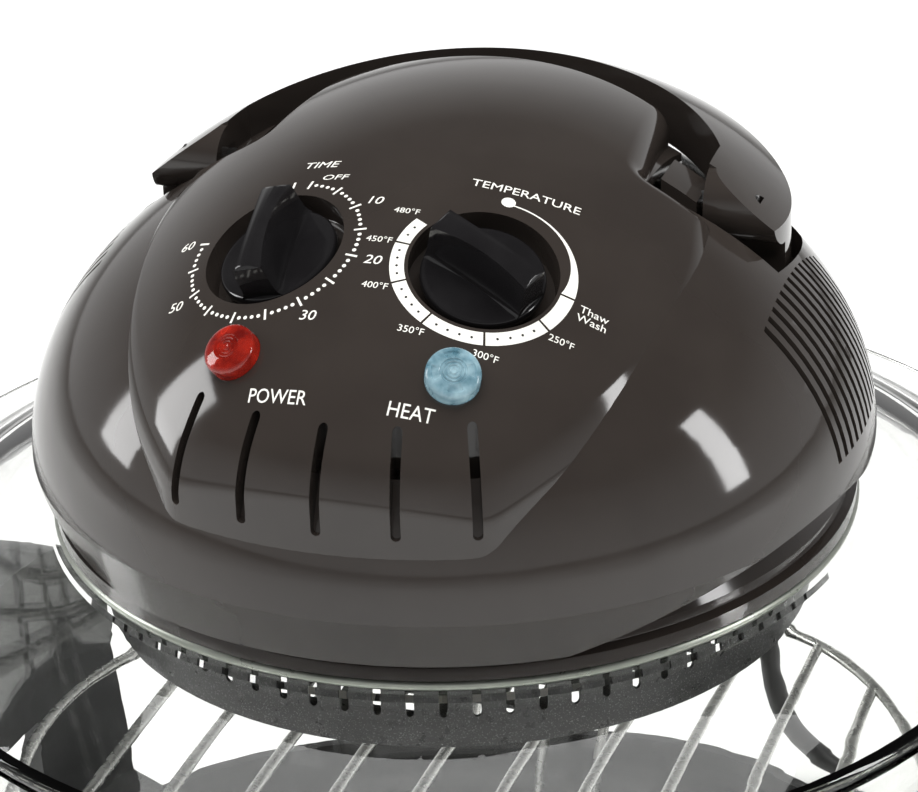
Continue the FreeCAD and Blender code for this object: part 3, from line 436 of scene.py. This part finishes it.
class Seat:
    """A place on the panel's crown, with its own across, up and outward directions."""

    def __init__(self, x, y):
        self.point = Vector((x, y, crown_z(x, y)))
        self.out = crown_normal(x, y)
        self.turn = Vector((0, 0, 1)).rotation_difference(self.out)
        self.across = (Vector((1, 0, 0)) - self.out * self.out.x).normalized()
        self.upward = self.out.cross(self.across)

    def at(self, u, v, h):
        """Turned with the frame's own seats: u and v before the tilt."""
        return self.point + self.turn @ Vector((u, v, h))

    def ring(self, radius, height, count=96):
        """Circle round the seat's axis, at a height over the crown."""
        turns = [2 * math.pi * i / count for i in range(count)]
        return [tuple(self.at(radius * math.cos(t), radius * math.sin(t), height)) for t in turns]

    def pole(self, height):
        """The one point of a ring of no radius."""
        return [tuple(self.at(0, 0, height))]

    def printed(self, u, v, lift):
        """On the crown's surface beside the seat, lifted along its normal."""
        p = self.point + self.across * u + self.upward * v
        for _ in range(3):
            n = crown_normal(p.x, p.y)
            p -= self.out * ((p.z - crown_z(p.x, p.y)) * n.z / n.dot(self.out))
        return p + crown_normal(p.x, p.y) * lift


DIAL_X, DIAL_Y = 26.5, -53.8
LAMP_X, LAMP_Y = 26.7, -81.6
SEATS = {"timer": Seat(-DIAL_X, DIAL_Y), "thermostat": Seat(DIAL_X, DIAL_Y),
         "power": Seat(-LAMP_X, LAMP_Y), "heat": Seat(LAMP_X, LAMP_Y)}

# ---- cord ---------------------------------------------------------------------------------
CORD_DIAMETER = 0.007
CORD_ROUTE = [(0, 121, 239), (1, 136, 240), (5, 158, 236), (14, 177, 217), (24, 187, 184),
              (32, 189, 144), (38, 185, 108), (43, 182, 76), (48, 184, 49), (56, 189, 27),
              (70, 195, 11), (89, 199.5, 4.6), (109, 200.4, 3.8)]
COIL_CENTRE = (122.0, 158.0)
COIL_POINTS_PER_TURN = 16
COIL_TURNS = 3.25
COIL_START = 107.0          # degrees, where the lead joins the coil
COIL_OUTER_R, COIL_PITCH = 44.3, 7.1
COIL_UPPER_R, COIL_UPPER_PITCH = 38.5, 9.0   # the upper layer winds outward up to this radius
COIL_Z, COIL_LAYER = 3.8, 7.1
COIL_CLIMB = (1.6, 2.0)     # turns between which the lead climbs to the upper layer
PLUG_CLIMB, PLUG_CLIMB_TURNS = 10.0, (2.9, 3.28)
PLUG_ENTRY = [(160.5, 154.0, 20.9), (160.5, 151.0, 20.9), (160.5, 147.0, 20.9)]


def eased(value, start, end):
    share = min(max((value - start) / (end - start), 0.0), 1.0)
    return share * share * (3 - 2 * share)


def coil_point(turns):
    """Inward in the lower layer, outward in the upper one, then up towards the plug."""
    if turns < 2:
        radius = COIL_OUTER_R - COIL_PITCH * turns
    else:
        inner = COIL_OUTER_R - 2 * COIL_PITCH
        radius = min(inner + COIL_UPPER_PITCH * (turns - 2), COIL_UPPER_R)
    height = COIL_Z + COIL_LAYER * eased(turns, *COIL_CLIMB)
    height += PLUG_CLIMB * eased(turns, *PLUG_CLIMB_TURNS)
    angle = math.radians(COIL_START - 360.0 * turns)
    radius /= math.cos(math.pi / COIL_POINTS_PER_TURN)
    return (COIL_CENTRE[0] + radius * math.cos(angle), COIL_CENTRE[1] + radius * math.sin(angle),
            height)


def make_cord():
    count = int(COIL_POINTS_PER_TURN * COIL_TURNS)
    coil = [coil_point(i / COIL_POINTS_PER_TURN) for i in range(1, count + 1)]
    points = CORD_ROUTE + coil + PLUG_ENTRY
    curve = bpy.data.curves.new("power_lead", "CURVE")
    curve.dimensions = "3D"
    curve.bevel_depth = CORD_DIAMETER / 2
    curve.bevel_resolution = 6
    curve.resolution_u = 6
    curve.use_fill_caps = True
    spline = curve.splines.new("NURBS")
    spline.points.add(len(points) - 1)
    for point, place in zip(spline.points, points):
        point.co = (*(Vector(place) * MM), 1)
    spline.order_u = 3
    spline.use_endpoint_u = True
    lead = bpy.data.objects.new("power_lead", curve)
    bpy.context.scene.collection.objects.link(lead)
    curve.materials.append(LOOKS["cord_black"])
    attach(lead, "head")
    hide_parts("power_cord", "cord_coil")
    return lead


SLEEVE_Z, SLEEVE_BORE_R = 239.0, 3.52
SLEEVE_START, SLEEVE_END = 104.0, 133.0
GROOVE_COUNT, GROOVE_STEP, GROOVE_DEPTH = 6, 3.2, 0.8


def make_strain_relief():
    """Tapered sleeve with flexing grooves, along +Y from the housing's rear wall."""
    profile = [(SLEEVE_BORE_R, SLEEVE_START), (5.9, SLEEVE_START), (5.9, 108.4), (8.5, 108.4),
               (8.5, 110.6), (5.7, 110.9)]
    for i in range(GROOVE_COUNT):
        y = 112.5 + GROOVE_STEP * i
        radius = 5.6 - 0.16 * i
        groove = radius - GROOVE_DEPTH
        profile += [(radius, y), (radius, y + 2.0), (groove, y + 2.3), (groove, y + 2.9)]
    profile += [(4.7, SLEEVE_END - 0.5), (4.4, SLEEVE_END), (SLEEVE_BORE_R, SLEEVE_END)]
    verts, faces = [], []
    count, steps = len(profile), 48
    for i in range(steps):
        turn = 2 * math.pi * i / steps
        verts += [(r * math.cos(turn), y, SLEEVE_Z + r * math.sin(turn)) for r, y in profile]
    for i in range(steps):
        j = (i + 1) % steps
        for k in range(count):
            m = (k + 1) % count
            faces.append((i * count + k, j * count + k, j * count + m, i * count + m))
    made = piece("cord_sleeve", verts, faces, "head", "cord_black", 40.0, "cord_black")
    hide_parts("strain_relief")
    return made


PLUG_CENTRE = (160.5, 141.0, 20.9)
PLUG_HALF = 17.0
PLUG_SQUARENESS = 0.6       # power that squares the round section
# Distance along the plug from its centre, half width and half height
PLUG_STATIONS = [(PLUG_HALF, 4.2, 4.2), (13.0, 4.6, 4.6), (12.4, 5.2, 4.9), (8.0, 6.6, 5.4),
                 (7.4, 7.4, 5.8), (3.0, 9.4, 6.1), (-4.0, 11.4, 6.4), (-12.0, 11.8, 6.5),
                 (-16.2, 11.8, 6.4), (-PLUG_HALF, 11.0, 5.8)]
BLADE_SIDE, BLADE_HALF_HEIGHT, BLADE_HALF_T = 6.35, 3.2, 0.75
BLADE_ROOT, BLADE_SHOULDER, BLADE_TIP, BLADE_TIP_SCALE = -15.5, -31.0, -34.0, 0.8


def squared(turn):
    """Point on a unit circle pushed out towards a square."""
    c, s = math.cos(turn), math.sin(turn)
    return (math.copysign(abs(c) ** PLUG_SQUARENESS, c), math.copysign(abs(s) ** PLUG_SQUARENESS, s))


def make_plug_body():
    cx, cy, cz = PLUG_CENTRE
    corners = [squared(2 * math.pi * i / 40) for i in range(40)]
    rings = [[(cx, cy + PLUG_HALF, cz)]]
    rings += [[(cx + wide * c, cy + along, cz + high * s) for c, s in corners]
              for along, wide, high in PLUG_STATIONS]
    rings.append([(cx, cy - PLUG_HALF, cz)])
    body = piece("plug_body", *ringed(rings), "head", "cord_black", 50.0, "cord_black")
    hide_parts("mains_plug")
    return body


def make_blade(name, side):
    """Flat blade with a narrowed tip."""
    cx, cy, cz = PLUG_CENTRE
    section = [(-BLADE_HALF_HEIGHT, -BLADE_HALF_T), (BLADE_HALF_HEIGHT, -BLADE_HALF_T),
               (BLADE_HALF_HEIGHT, BLADE_HALF_T), (-BLADE_HALF_HEIGHT, BLADE_HALF_T)]
    rings = [[(cx + side, cy + BLADE_ROOT, cz)]]
    for along, scale in ((BLADE_ROOT, 1.0), (BLADE_SHOULDER, 1.0), (BLADE_TIP, BLADE_TIP_SCALE)):
        rings.append([(cx + side + b * scale, cy + along, cz + a * scale) for a, b in section])
    rings.append([(cx + side, cy + BLADE_TIP, cz)])
    return piece(name, *ringed(rings), "head", "plated_steel", 30.0, "plated_steel")


def make_plug():
    """Moulded two-blade plug on the coil, its blades forward."""
    return [make_plug_body(), make_blade("plug_blade_1", -BLADE_SIDE),
            make_blade("plug_blade_2", BLADE_SIDE)]


lead = make_cord()
[make_strain_relief()] + make_plug()


# ---- control panel ------------------------------------------------------------------------
PANEL_STEPS = [(-39.52, -97.82), ((0, -105.5), (39.52, -97.82)), ((64.5, -62.0), (71.5, -15.0)),
               (68.5, 2.0), (50.5, 2.0), (46.0, 46.0), ((0, 58.0), (-46.0, 46.0)), (-50.5, 2.0),
               (-68.5, 2.0), (-71.5, -15.0), ((-64.5, -62.0), (-39.52, -97.82))]
PANEL_EDGE_R = 5.0          # rounding between the crown and the side wall
PANEL_BODY = 11.1           # depth of the panel's body under its crown
PANEL_SIDES = 480
PANEL_CORNER = 2.2          # reach of the corner rounding
PANEL_FOOT_INSET = 3.0
PANEL_SINK = 1.5            # how far the side wall reaches into the dome
PANEL_HUB = (0.0, -22.0)    # middle of the rings on the crown
TOP_RINGS, EDGE_RINGS, WALL_RINGS, UNDER_RINGS = 36, 10, 6, 20
WELL_R, WELL_DEPTH = 18.0, 9.0


def inward(points):
    """Unit normals that point into a closed outline that runs anticlockwise."""
    count = len(points)
    made = []
    for i in range(count):
        (ax, ay), (bx, by) = points[i - 1], points[(i + 1) % count]
        length = math.hypot(bx - ax, by - ay)
        made.append((-(by - ay) / length, (bx - ax) / length))
    return made


def inset_line(line, distance):
    return [(x + nx * distance, y + ny * distance) for (x, y), (nx, ny) in zip(line, inward(line))]


def towards_hub(points, share):
    hx, hy = PANEL_HUB
    return [(hx + (x - hx) * share, hy + (y - hy) * share) for x, y in points]


def on_crown(points, shrink=0.0, drop=0.0):
    return [(x, y, crown_z(x, y, shrink) - drop) for x, y in points]


def panel_rings():
    """Rings from the top's middle over the edge, down the side wall and back under the panel."""
    line = softened(evened(outline(PANEL_STEPS), PANEL_SIDES), PANEL_CORNER)
    edge, inner = inset_line(line, PANEL_EDGE_R), inset_line(line, PANEL_FOOT_INSET)
    rings = [on_crown([PANEL_HUB])]
    for i in range(1, TOP_RINGS + 1):
        rings.append(on_crown(towards_hub(edge, i / TOP_RINGS)))
    for i in range(1, EDGE_RINGS + 1):
        turn = math.pi / 2 * i / EDGE_RINGS
        ring = inset_line(line, PANEL_EDGE_R * (1 - math.sin(turn)))
        rings.append(on_crown(ring, drop=PANEL_EDGE_R * (1 - math.cos(turn))))
    foot = [min(dome_z(x, y, PANEL_SINK), crown_z(x, y) - PANEL_EDGE_R - 1.0) for x, y in line]
    for i in range(1, WALL_RINGS + 1):
        share = i / WALL_RINGS
        rings.append([(x, y, (crown_z(x, y) - PANEL_EDGE_R) * (1 - share) + low * share)
                      for (x, y), low in zip(line, foot)])
    rings.append([(x, y, low) for (x, y), low in zip(inner, foot)])
    for i in range(UNDER_RINGS, 0, -1):
        rings.append(on_crown(towards_hub(inner, i / UNDER_RINGS), PANEL_BODY))
    rings.append(on_crown([PANEL_HUB], PANEL_BODY))
    return rings


CUTTER_LIP = 6.0            # how far a plain cutter stands out of the crown


def seat_cutter(seat, radius, depth, fillet=0.0):
    """Round cutter along a seat's outward direction, with an optional flared mouth."""
    heights = [(radius, CUTTER_LIP), (radius, -depth)]
    if fillet:
        heights = [(radius + fillet + 4, 5.0), (radius + fillet, 0.25)]
        heights += [(radius + fillet * (1 - math.sin(a)), 0.25 - fillet * (1 - math.cos(a)))
                    for a in (math.pi / 2 * i / 6 for i in range(1, 7))]
        heights += [(radius, -depth + 1.2), (radius - 0.35, -depth + 0.35), (radius - 1.2, -depth)]
    rings = [seat.pole(heights[0][1])]
    rings += [seat.ring(r, h) for r, h in heights]
    rings.append(seat.pole(heights[-1][1]))
    return mesh_object("cutter", *ringed(rings))


VENT_COUNT, VENT_STEP, VENT_WIDTH = 5, 10.3, 2.4
VENT_LOW, VENT_MIDDLE, VENT_HIGH = 257.0, 269.0, 281.5
VENT_NEAR_R, VENT_FAR_R = 92.0, 116.0
LAMP_HOLE_R, LAMP_HOLE_DEPTH = 6.75, 0.8


def vent_cutter(degrees):
    """Upright slot through the nose, radial, with a round top and bottom."""
    c, s = math.cos(math.radians(degrees)), math.sin(math.radians(degrees))
    half = VENT_WIDTH / 2
    section = []
    for middle, first in ((VENT_HIGH - half, 0.0), (VENT_LOW + half, math.pi)):
        for i in range(13):
            a = first + math.pi * i / 12
            section.append((half * math.cos(a), middle + half * math.sin(a)))
    rings = [[(x * c + r * s, x * s - r * c, z) for x, z in section] for r in (VENT_NEAR_R, VENT_FAR_R)]
    near, far = ([(r * s, -r * c, VENT_MIDDLE)] for r in (VENT_NEAR_R, VENT_FAR_R))
    return mesh_object("cutter", *ringed([near] + rings + [far]))


def make_panel():
    panel = piece("panel_cover", *ringed(panel_rings()), "head", "gloss_black", 40.0, "gloss_black")
    cutters = [seat_cutter(SEATS[n], WELL_R, WELL_DEPTH, fillet=1.0) for n in ("timer", "thermostat")]
    cutters += [seat_cutter(SEATS[n], LAMP_HOLE_R, LAMP_HOLE_DEPTH) for n in ("power", "heat")]
    cutters += [vent_cutter((i - (VENT_COUNT - 1) / 2) * VENT_STEP) for i in range(VENT_COUNT)]
    cut_with(panel, cutters)
    panel.data.shade_smooth()
    panel.data.set_sharp_from_angle(angle=math.radians(30))
    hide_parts("control_panel")
    smooth_crown(panel)


def smooth_crown(panel):
    """True crown normals on the top, so that cuts leave no ripples in its gloss."""
    mesh = panel.data
    normals = []
    for polygon in mesh.polygons:
        for index in polygon.loop_indices:
            p = mesh.vertices[mesh.loops[index].vertex_index].co / MM
            n = crown_normal(p.x, p.y)
            top = abs(p.z - crown_z(p.x, p.y)) < 0.02 and polygon.normal.dot(n) > 0.97
            normals.append(n if top else Vector((0, 0, 0)))
    mesh.normals_split_custom_set(normals)


make_panel()


# ---- knobs and lamps ----------------------------------------------------------------------
WING_SIDES = 72
WING_FOOT, WING_HEIGHT, WING_HALF = -3.2, 9.4, 14.0   # foot under the crown, height, half length
WING_ARCH = 1.6             # how much higher the middle is than the ends
WING_END, WING_WAIST = 4.3, 3.0   # half widths
WING_TOP_FLARE = 0.88
WING_LEVELS = [(0.0, 1.30), (0.8, 1.12), (2.0, 1.02), (5.0, 0.97), (8.0, 0.93),
               (WING_HEIGHT, WING_TOP_FLARE)]   # height and share of the outline's width
WING_ROUNDING = 0.5


def wing_arch(v):
    return 1 - (v / WING_HALF) ** 2


def wing_rings(seat, turn):
    """Wing grip: long and narrow, waisted sides, arched top, flat ends."""
    shares = [i / WING_SIDES for i in range(WING_SIDES)]
    rings = []
    for height, flare in WING_LEVELS:
        ring = []
        for v, u in (wing_outline(share, flare) for share in shares):
            z = WING_FOOT + height + (WING_ARCH * wing_arch(v) * height / WING_HEIGHT)
            ring.append(twisted(seat, u, v, z, turn))
        rings.append(ring)
    for inset in (0.9, 0.6, 0.3):
        rounding = WING_ROUNDING * (1 - ((inset - 0.3) / 0.6) ** 2)
        ring = []
        for v, u in (wing_outline(share, WING_TOP_FLARE) for share in shares):
            u, v = u * inset, v * (1 - 0.06 * (1 - inset))
            z = WING_FOOT + WING_HEIGHT + WING_ARCH * wing_arch(v) + rounding
            ring.append(twisted(seat, u, v, z, turn))
        rings.append(ring)
    spine = [wing_outline(share, WING_TOP_FLARE)[0] * 0.955 for share in shares]
    rings.append([twisted(seat, 0.0, v, WING_FOOT + 9.95 + WING_ARCH * wing_arch(v), turn)
                  for v in spine])
    return rings


def wing_outline(share, flare):
    """Point (along, across) on the wing's outline: flat ends, sides drawn in at the middle."""
    quarter = share * 4
    half_end, waist, half_l = WING_END * flare, WING_WAIST * flare, WING_HALF
    if quarter < 1.6:
        v = half_l - 2 * half_l * quarter / 1.6
        return v, half_end - (half_end - waist) * (1 - (v / half_l) ** 2)
    if quarter < 2:
        return -half_l, half_end - 2 * half_end * (quarter - 1.6) / 0.4
    if quarter < 3.6:
        v = -half_l + 2 * half_l * (quarter - 2) / 1.6
        return v, -(half_end - (half_end - waist) * (1 - (v / half_l) ** 2))
    return half_l, -half_end + 2 * half_end * (quarter - 3.6) / 0.4


def twisted(seat, u, v, h, turn):
    return tuple(seat.at(u * math.cos(turn) - v * math.sin(turn),
                         u * math.sin(turn) + v * math.cos(turn), h))


DISC_BOTTOM, DISC_TOP, DISC_R = -6.0, -3.2, 15.0
DISC_PROFILE = [(DISC_R - 0.6, DISC_BOTTOM), (DISC_R, -5.4), (DISC_R, -3.7), (14.75, DISC_TOP),
                (14.3, -3.0), (13.6, -3.05), (12.0, DISC_TOP)]


def make_knob(name, pointer):
    """Round disc with a wing grip turned by an angle in degrees."""
    seat = SEATS[name]
    rings = [seat.pole(DISC_BOTTOM)] + [seat.ring(r, h) for r, h in DISC_PROFILE]
    rings.append(seat.pole(DISC_TOP))
    disc = piece(f"{name}_disc", *ringed(rings), name, "knob_black", 60.0, "gloss_black")
    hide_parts(f"{name}_knob")
    verts, faces = ringed(wing_rings(seat, math.radians(pointer)))
    faces.append(tuple(range(WING_SIDES)))
    piece(f"{name}_wing", verts, faces, name, "knob_black", 32.0, "gloss_black")


LENS_BOTTOM, LENS_TOP = -4.0, 4.0
# Radius and height: stem, rounded rim, shallow dish, three raised rings and a middle stud
LENS_PROFILE = [(5.0, LENS_BOTTOM), (5.0, -0.8), (6.6, -0.8), (6.6, 2.2), (6.45, 2.9), (6.0, 3.4),
                (5.3, 3.65), (5.0, 3.7), (4.0, 3.95), (3.3, 4.05), (3.05, 3.75), (2.8, 3.75),
                (2.5, 4.1), (2.2, 3.8), (1.9, 3.8), (1.6, 4.15), (1.3, 3.85), (1.0, 3.85),
                (0.7, 4.2), (0.35, LENS_TOP)]
WINDOW_INNER_R, WINDOW_OUTER_R, WINDOW_DEPTH = 3.9, 5.2, 0.5


def make_lamp(name, look, facets):
    """Jewel lens: rounded rim, shallow dish with raised rings and moulded windows."""
    seat = SEATS[name]
    rings = [seat.pole(LENS_BOTTOM)]
    for r, h in LENS_PROFILE:
        ring = []
        for i in range(96):
            turn = 2 * math.pi * i / 96
            dip = 0.0
            if facets and WINDOW_INNER_R < r < WINDOW_OUTER_R:
                dip = WINDOW_DEPTH * eased(math.sin(facets * turn), -0.1, 0.35)
            ring.append(tuple(seat.at(r * math.cos(turn), r * math.sin(turn), h - dip)))
        rings.append(ring)
    rings.append(seat.pole(LENS_TOP))
    lens = piece(f"{name}_jewel", *ringed(rings), "head", look, 40.0, look)
    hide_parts(f"{name}_lamp_lens")


make_knob("timer", 0.0)
make_knob("thermostat", 70.0)
make_lamp("power", "red_lens", 0)
make_lamp("heat", "blue_lens", 4)


# ---- printed marks ------------------------------------------------------------------------
PRINT_LIFT, PRINT_T = 0.05, 0.09
marks = {"print_white": ([], []), "print_black": ([], [])}


def add_print(seat, points, faces, look="print_white", lift=PRINT_LIFT):
    """A thin printed layer on the crown, from flat points beside a seat."""
    verts, made = marks[look]
    start, count = len(verts), len(points)
    verts += [tuple(seat.printed(u, v, lift)) for u, v in points]
    verts += [tuple(seat.printed(u, v, lift - PRINT_T)) for u, v in points]
    edges = {}
    for face in faces:
        made.append(tuple(start + i for i in face))
        made.append(tuple(start + count + i for i in reversed(face)))
        for a, b in zip(face, face[1:] + face[:1]):
            edges[(a, b)] = edges.get((a, b), 0) + 1
    for a, b in edges:
        if (b, a) not in edges:
            made.append((start + b, start + a, start + count + a, start + count + b))


def polar(radius, degrees):
    """Point at a clockwise angle from straight up."""
    turn = math.radians(degrees)
    return radius * math.sin(turn), radius * math.cos(turn)


def add_band(seat, r_in, r_out, first, last, steps=None, look="print_white", lift=PRINT_LIFT):
    """Ring segment; either radius may be a function of the share along it."""
    steps = steps or max(1, int(abs(last - first) / 3))
    inner = r_in if callable(r_in) else (lambda share: r_in)
    outer = r_out if callable(r_out) else (lambda share: r_out)
    points, faces = [], []
    for i in range(steps + 1):
        share = i / steps
        angle = first + (last - first) * share
        points += [polar(inner(share), angle), polar(outer(share), angle)]
    for i in range(steps):
        faces.append((2 * i, 2 * i + 1, 2 * i + 3, 2 * i + 2))
    add_print(seat, points, faces, look, lift)


def add_tick(seat, radius, degrees, length, width):
    half = math.degrees(width / 2 / radius)
    add_band(seat, radius - length / 2, radius + length / 2, degrees - half, degrees + half, 1)


def add_dot(seat, u, v, radius, look="print_white", lift=PRINT_LIFT):
    points = [(u + radius * math.cos(2 * math.pi * i / 16), v + radius * math.sin(2 * math.pi * i / 16))
              for i in range(16)]
    add_print(seat, points, [tuple(range(16))], look, lift)


def add_text(seat, words, u, v, height, width=None, slant=0.0):
    """Words centred beside a seat, with a cap height and an optional overall width."""
    curve = bpy.data.curves.new("words", "FONT")
    curve.body = words
    curve.align_x = "CENTER"
    curve.resolution_u = 3
    curve.space_line = 0.85
    words_object = bpy.data.objects.new("words", curve)
    bpy.context.scene.collection.objects.link(words_object)
    bpy.context.view_layer.update()
    mesh = bpy.data.meshes.new_from_object(words_object.evaluated_get(
        bpy.context.evaluated_depsgraph_get()))
    xs, ys = [p.co.x for p in mesh.vertices], [p.co.y for p in mesh.vertices]
    lines = words.count("\n") + 1
    tall = (max(ys) - min(ys)) / lines
    scale_y = height / tall
    scale_x = width / (max(xs) - min(xs)) if width else scale_y * 1.1
    middle_x, middle_y = (max(xs) + min(xs)) / 2, (max(ys) + min(ys)) / 2
    points = []
    for p in mesh.vertices:
        y = (p.co.y - middle_y) * scale_y
        points.append((u + (p.co.x - middle_x) * scale_x + slant * y, v + y))
    add_print(seat, points, [tuple(f.vertices) for f in mesh.polygons])
    bpy.data.objects.remove(words_object)
    bpy.data.curves.remove(curve)
    bpy.data.meshes.remove(mesh)


TIMER_R, TIMER_OFF, TIMER_SWEEP = 21.9, 7.0, 276.0   # scale radius, angle of zero, whole turn
TICK_WIDTH, SLANT = 0.55, 0.15


def print_timer():
    seat = SEATS["timer"]
    add_tick(seat, TIMER_R + 0.2, -5.0, 2.6, TICK_WIDTH)
    for minute in range(61):
        angle = TIMER_OFF + TIMER_SWEEP * minute / 60
        if minute % 5 == 0:
            add_tick(seat, TIMER_R, angle, 3.0, TICK_WIDTH)
        else:
            add_dot(seat, *polar(TIMER_R, angle), 0.5)
    for minute in range(10, 61, 10):
        angle = TIMER_OFF + TIMER_SWEEP * minute / 60
        u, v = polar(TIMER_R + 4.6, angle)
        add_text(seat, str(minute), u * 1.04, v, 2.7, slant=SLANT)
    add_text(seat, "OFF", 8.4, 24.6, 2.0, 6.6, slant=SLANT)
    add_text(seat, "TIME", 2.6, 30.2, 2.5, 9.2, slant=SLANT)


BAND_IN, BAND_OUT = 18.9, 22.3
# First angle, last angle and number of dots of each white field
BAND_STEPS = [(92, 122, 0), (122, 165, 4), (165, 206, 4), (206, 242, 4), (242, 276, 4), (276, 300, 2)]
BAND_LABELS = [(122, "250°F"), (165, "300°F"), (206, "350°F"), (242, "400°F"), (276, "450°F"),
               (302, "480°F")]


def print_thermostat():
    seat = SEATS["thermostat"]
    add_dot(seat, 0.0, 22.8, 1.75)
    add_band(seat, lambda s: 22.25 - 0.35 - 3.0 * s * s * s, 22.3, 4, 91.2, 40)
    for first, last, dots in BAND_STEPS:
        add_band(seat, BAND_IN, BAND_OUT, first + 0.8, last - 0.8)
        for i in range(dots):
            angle = first + (last - first) * (i + 1) / (dots + 1)
            add_dot(seat, *polar((BAND_IN + BAND_OUT) / 2, angle), 0.32, "print_black", PRINT_LIFT + 0.05)
    for angle, words in BAND_LABELS:
        u, v = polar(BAND_OUT + 2.6, angle)
        add_text(seat, words, u * 1.06, v, 1.9, 6.2)
    add_text(seat, "Thaw\nWash", 27.6, -3.6, 2.3, 7.4)
    add_text(seat, "TEMPERATURE", 3.4, 27.4, 2.6, 27.0)


def print_lamp_labels():
    add_text(SEATS["power"], "POWER", 14.0, -10.6, 3.6, 14.6)
    add_text(SEATS["heat"], "HEAT", -7.4, -10.4, 3.6, 10.8)


def make_marks():
    print_timer()
    print_thermostat()
    print_lamp_labels()
    for look, (verts, faces) in marks.items():
        piece(f"{look}_marks", verts, faces, "head", look, 60.0)


make_marks()

# ---- CAD nodes that keep their shape ------------------------------------------------------
NODE_LOOKS = {
    "base_shell": "satin_black", "base_handle_left": "satin_black",
    "base_handle_right": "satin_black", "base_screws": "screw_steel", "base_feet": "foot_rubber",
    "glass_bowl": "clear_glass", "glass_lid": "clear_glass", "wire_rack": "rack_chrome",
    "lid_gasket": "silicone", "trim_ring": "trim_chrome", "flange_ring": "gloss_black",
    "motor_plate": "plated_steel", "housing_liner": "liner_black",
    "perforated_drum": "speckled_enamel", "drum_guard": "speckled_enamel",
    "heat_shield": "plated_steel", "heating_ring": "quartz_tube", "heater_ends": "ceramic",
    "heater_clips": "plated_steel", "fan_shaft": "plated_steel",
    "convection_fan": "fan_aluminium", "cooling_fan": "fan_aluminium",
    "motor_stator": "laminated_steel", "motor_rotor": "laminated_steel",
    "motor_coil": "copper_winding", "motor_legs": "plated_steel",
    "motor_bearing": "bearing_bronze", "lower_housing": "gloss_black",
    "carry_handle": "gloss_black", "handle_pins": "plated_steel",
    "housing_screws": "screw_steel", "safety_switch": "switch_grey",
    "terminal_block": "switch_grey", "timer_shaft": "plated_steel",
    "thermostat_shaft": "plated_steel", "timer_body": "switch_grey",
    "thermostat_body": "switch_grey", "lamp_holders": "switch_grey",
}


HANDLE_EDGE_R = 0.0028      # metres


def soften_handle():
    """Round the edges of the carry handle."""
    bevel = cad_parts["carry_handle"].modifiers.new("rounded", "BEVEL")
    bevel.width = HANDLE_EDGE_R
    bevel.segments = 4
    bevel.limit_method = "ANGLE"
    bevel.angle_limit = math.radians(40)


def dress_nodes():
    for node, look in NODE_LOOKS.items():
        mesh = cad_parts[node].data
        mesh.materials.clear()
        mesh.materials.append(LOOKS[look])


dress_nodes()
soften_handle()


# ---- studio -------------------------------------------------------------------------------
def area_light(name, place, aim, size, power):
    data = bpy.data.lights.new(name, "AREA")
    data.shape = "RECTANGLE"
    data.size, data.size_y = size
    data.energy = power
    light = bpy.data.objects.new(name, data)
    light.location = place
    light.rotation_mode = "QUATERNION"
    light.rotation_quaternion = (Vector(aim) - Vector(place)).to_track_quat("-Z", "Y")
    light.visible_camera = False
    bpy.context.scene.collection.objects.link(light)
    return light


FLOOR_HALF = 6.0            # metres


def make_floor():
    mesh = bpy.data.meshes.new("studio_floor")
    half = FLOOR_HALF
    mesh.from_pydata([(-half, -half, 0), (half, -half, 0), (half, half, 0), (-half, half, 0)], [],
                     [(0, 1, 2, 3)])
    mesh.materials.append(LOOKS["floor"])
    floor = bpy.data.objects.new("studio_floor", mesh)
    bpy.context.scene.collection.objects.link(floor)


# Brightness of the surroundings, from the floor's side up to the ceiling
WORLD_STOPS = [(0.0, grey(0.75)), (0.22, grey(0.55)), (0.5, grey(0.12)), (0.8, grey(0.06))]


def make_world():
    """Pale surroundings that darken towards the ceiling."""
    world = bpy.data.worlds.new("studio")
    world.use_nodes = True
    tree = world.node_tree
    background = tree.nodes["Background"]
    place = tree.nodes.new("ShaderNodeTexCoord")
    split = tree.nodes.new("ShaderNodeSeparateXYZ")
    ramp = tree.nodes.new("ShaderNodeValToRGB")
    fill_ramp(ramp, WORLD_STOPS)
    tree.links.new(place.outputs["Generated"], split.inputs["Vector"])
    tree.links.new(split.outputs["Z"], ramp.inputs["Fac"])
    tree.links.new(ramp.outputs["Color"], background.inputs["Color"])
    bpy.context.scene.world = world


make_floor()
make_world()
key = area_light("key", (0.0, -0.3, 2.6), (0, 0, 0.0), (3.4, 3.4), 150.0)
key.visible_glossy = False
area_light("right_box", (1.5, 0.1, 0.75), (0, 0, 0.28), (0.22, 0.8), 7.0)
area_light("left_box", (-1.5, -0.2, 0.8), (0, 0, 0.28), (0.4, 0.9), 9.0)
bpy.context.scene.view_settings.view_transform = "Standard"
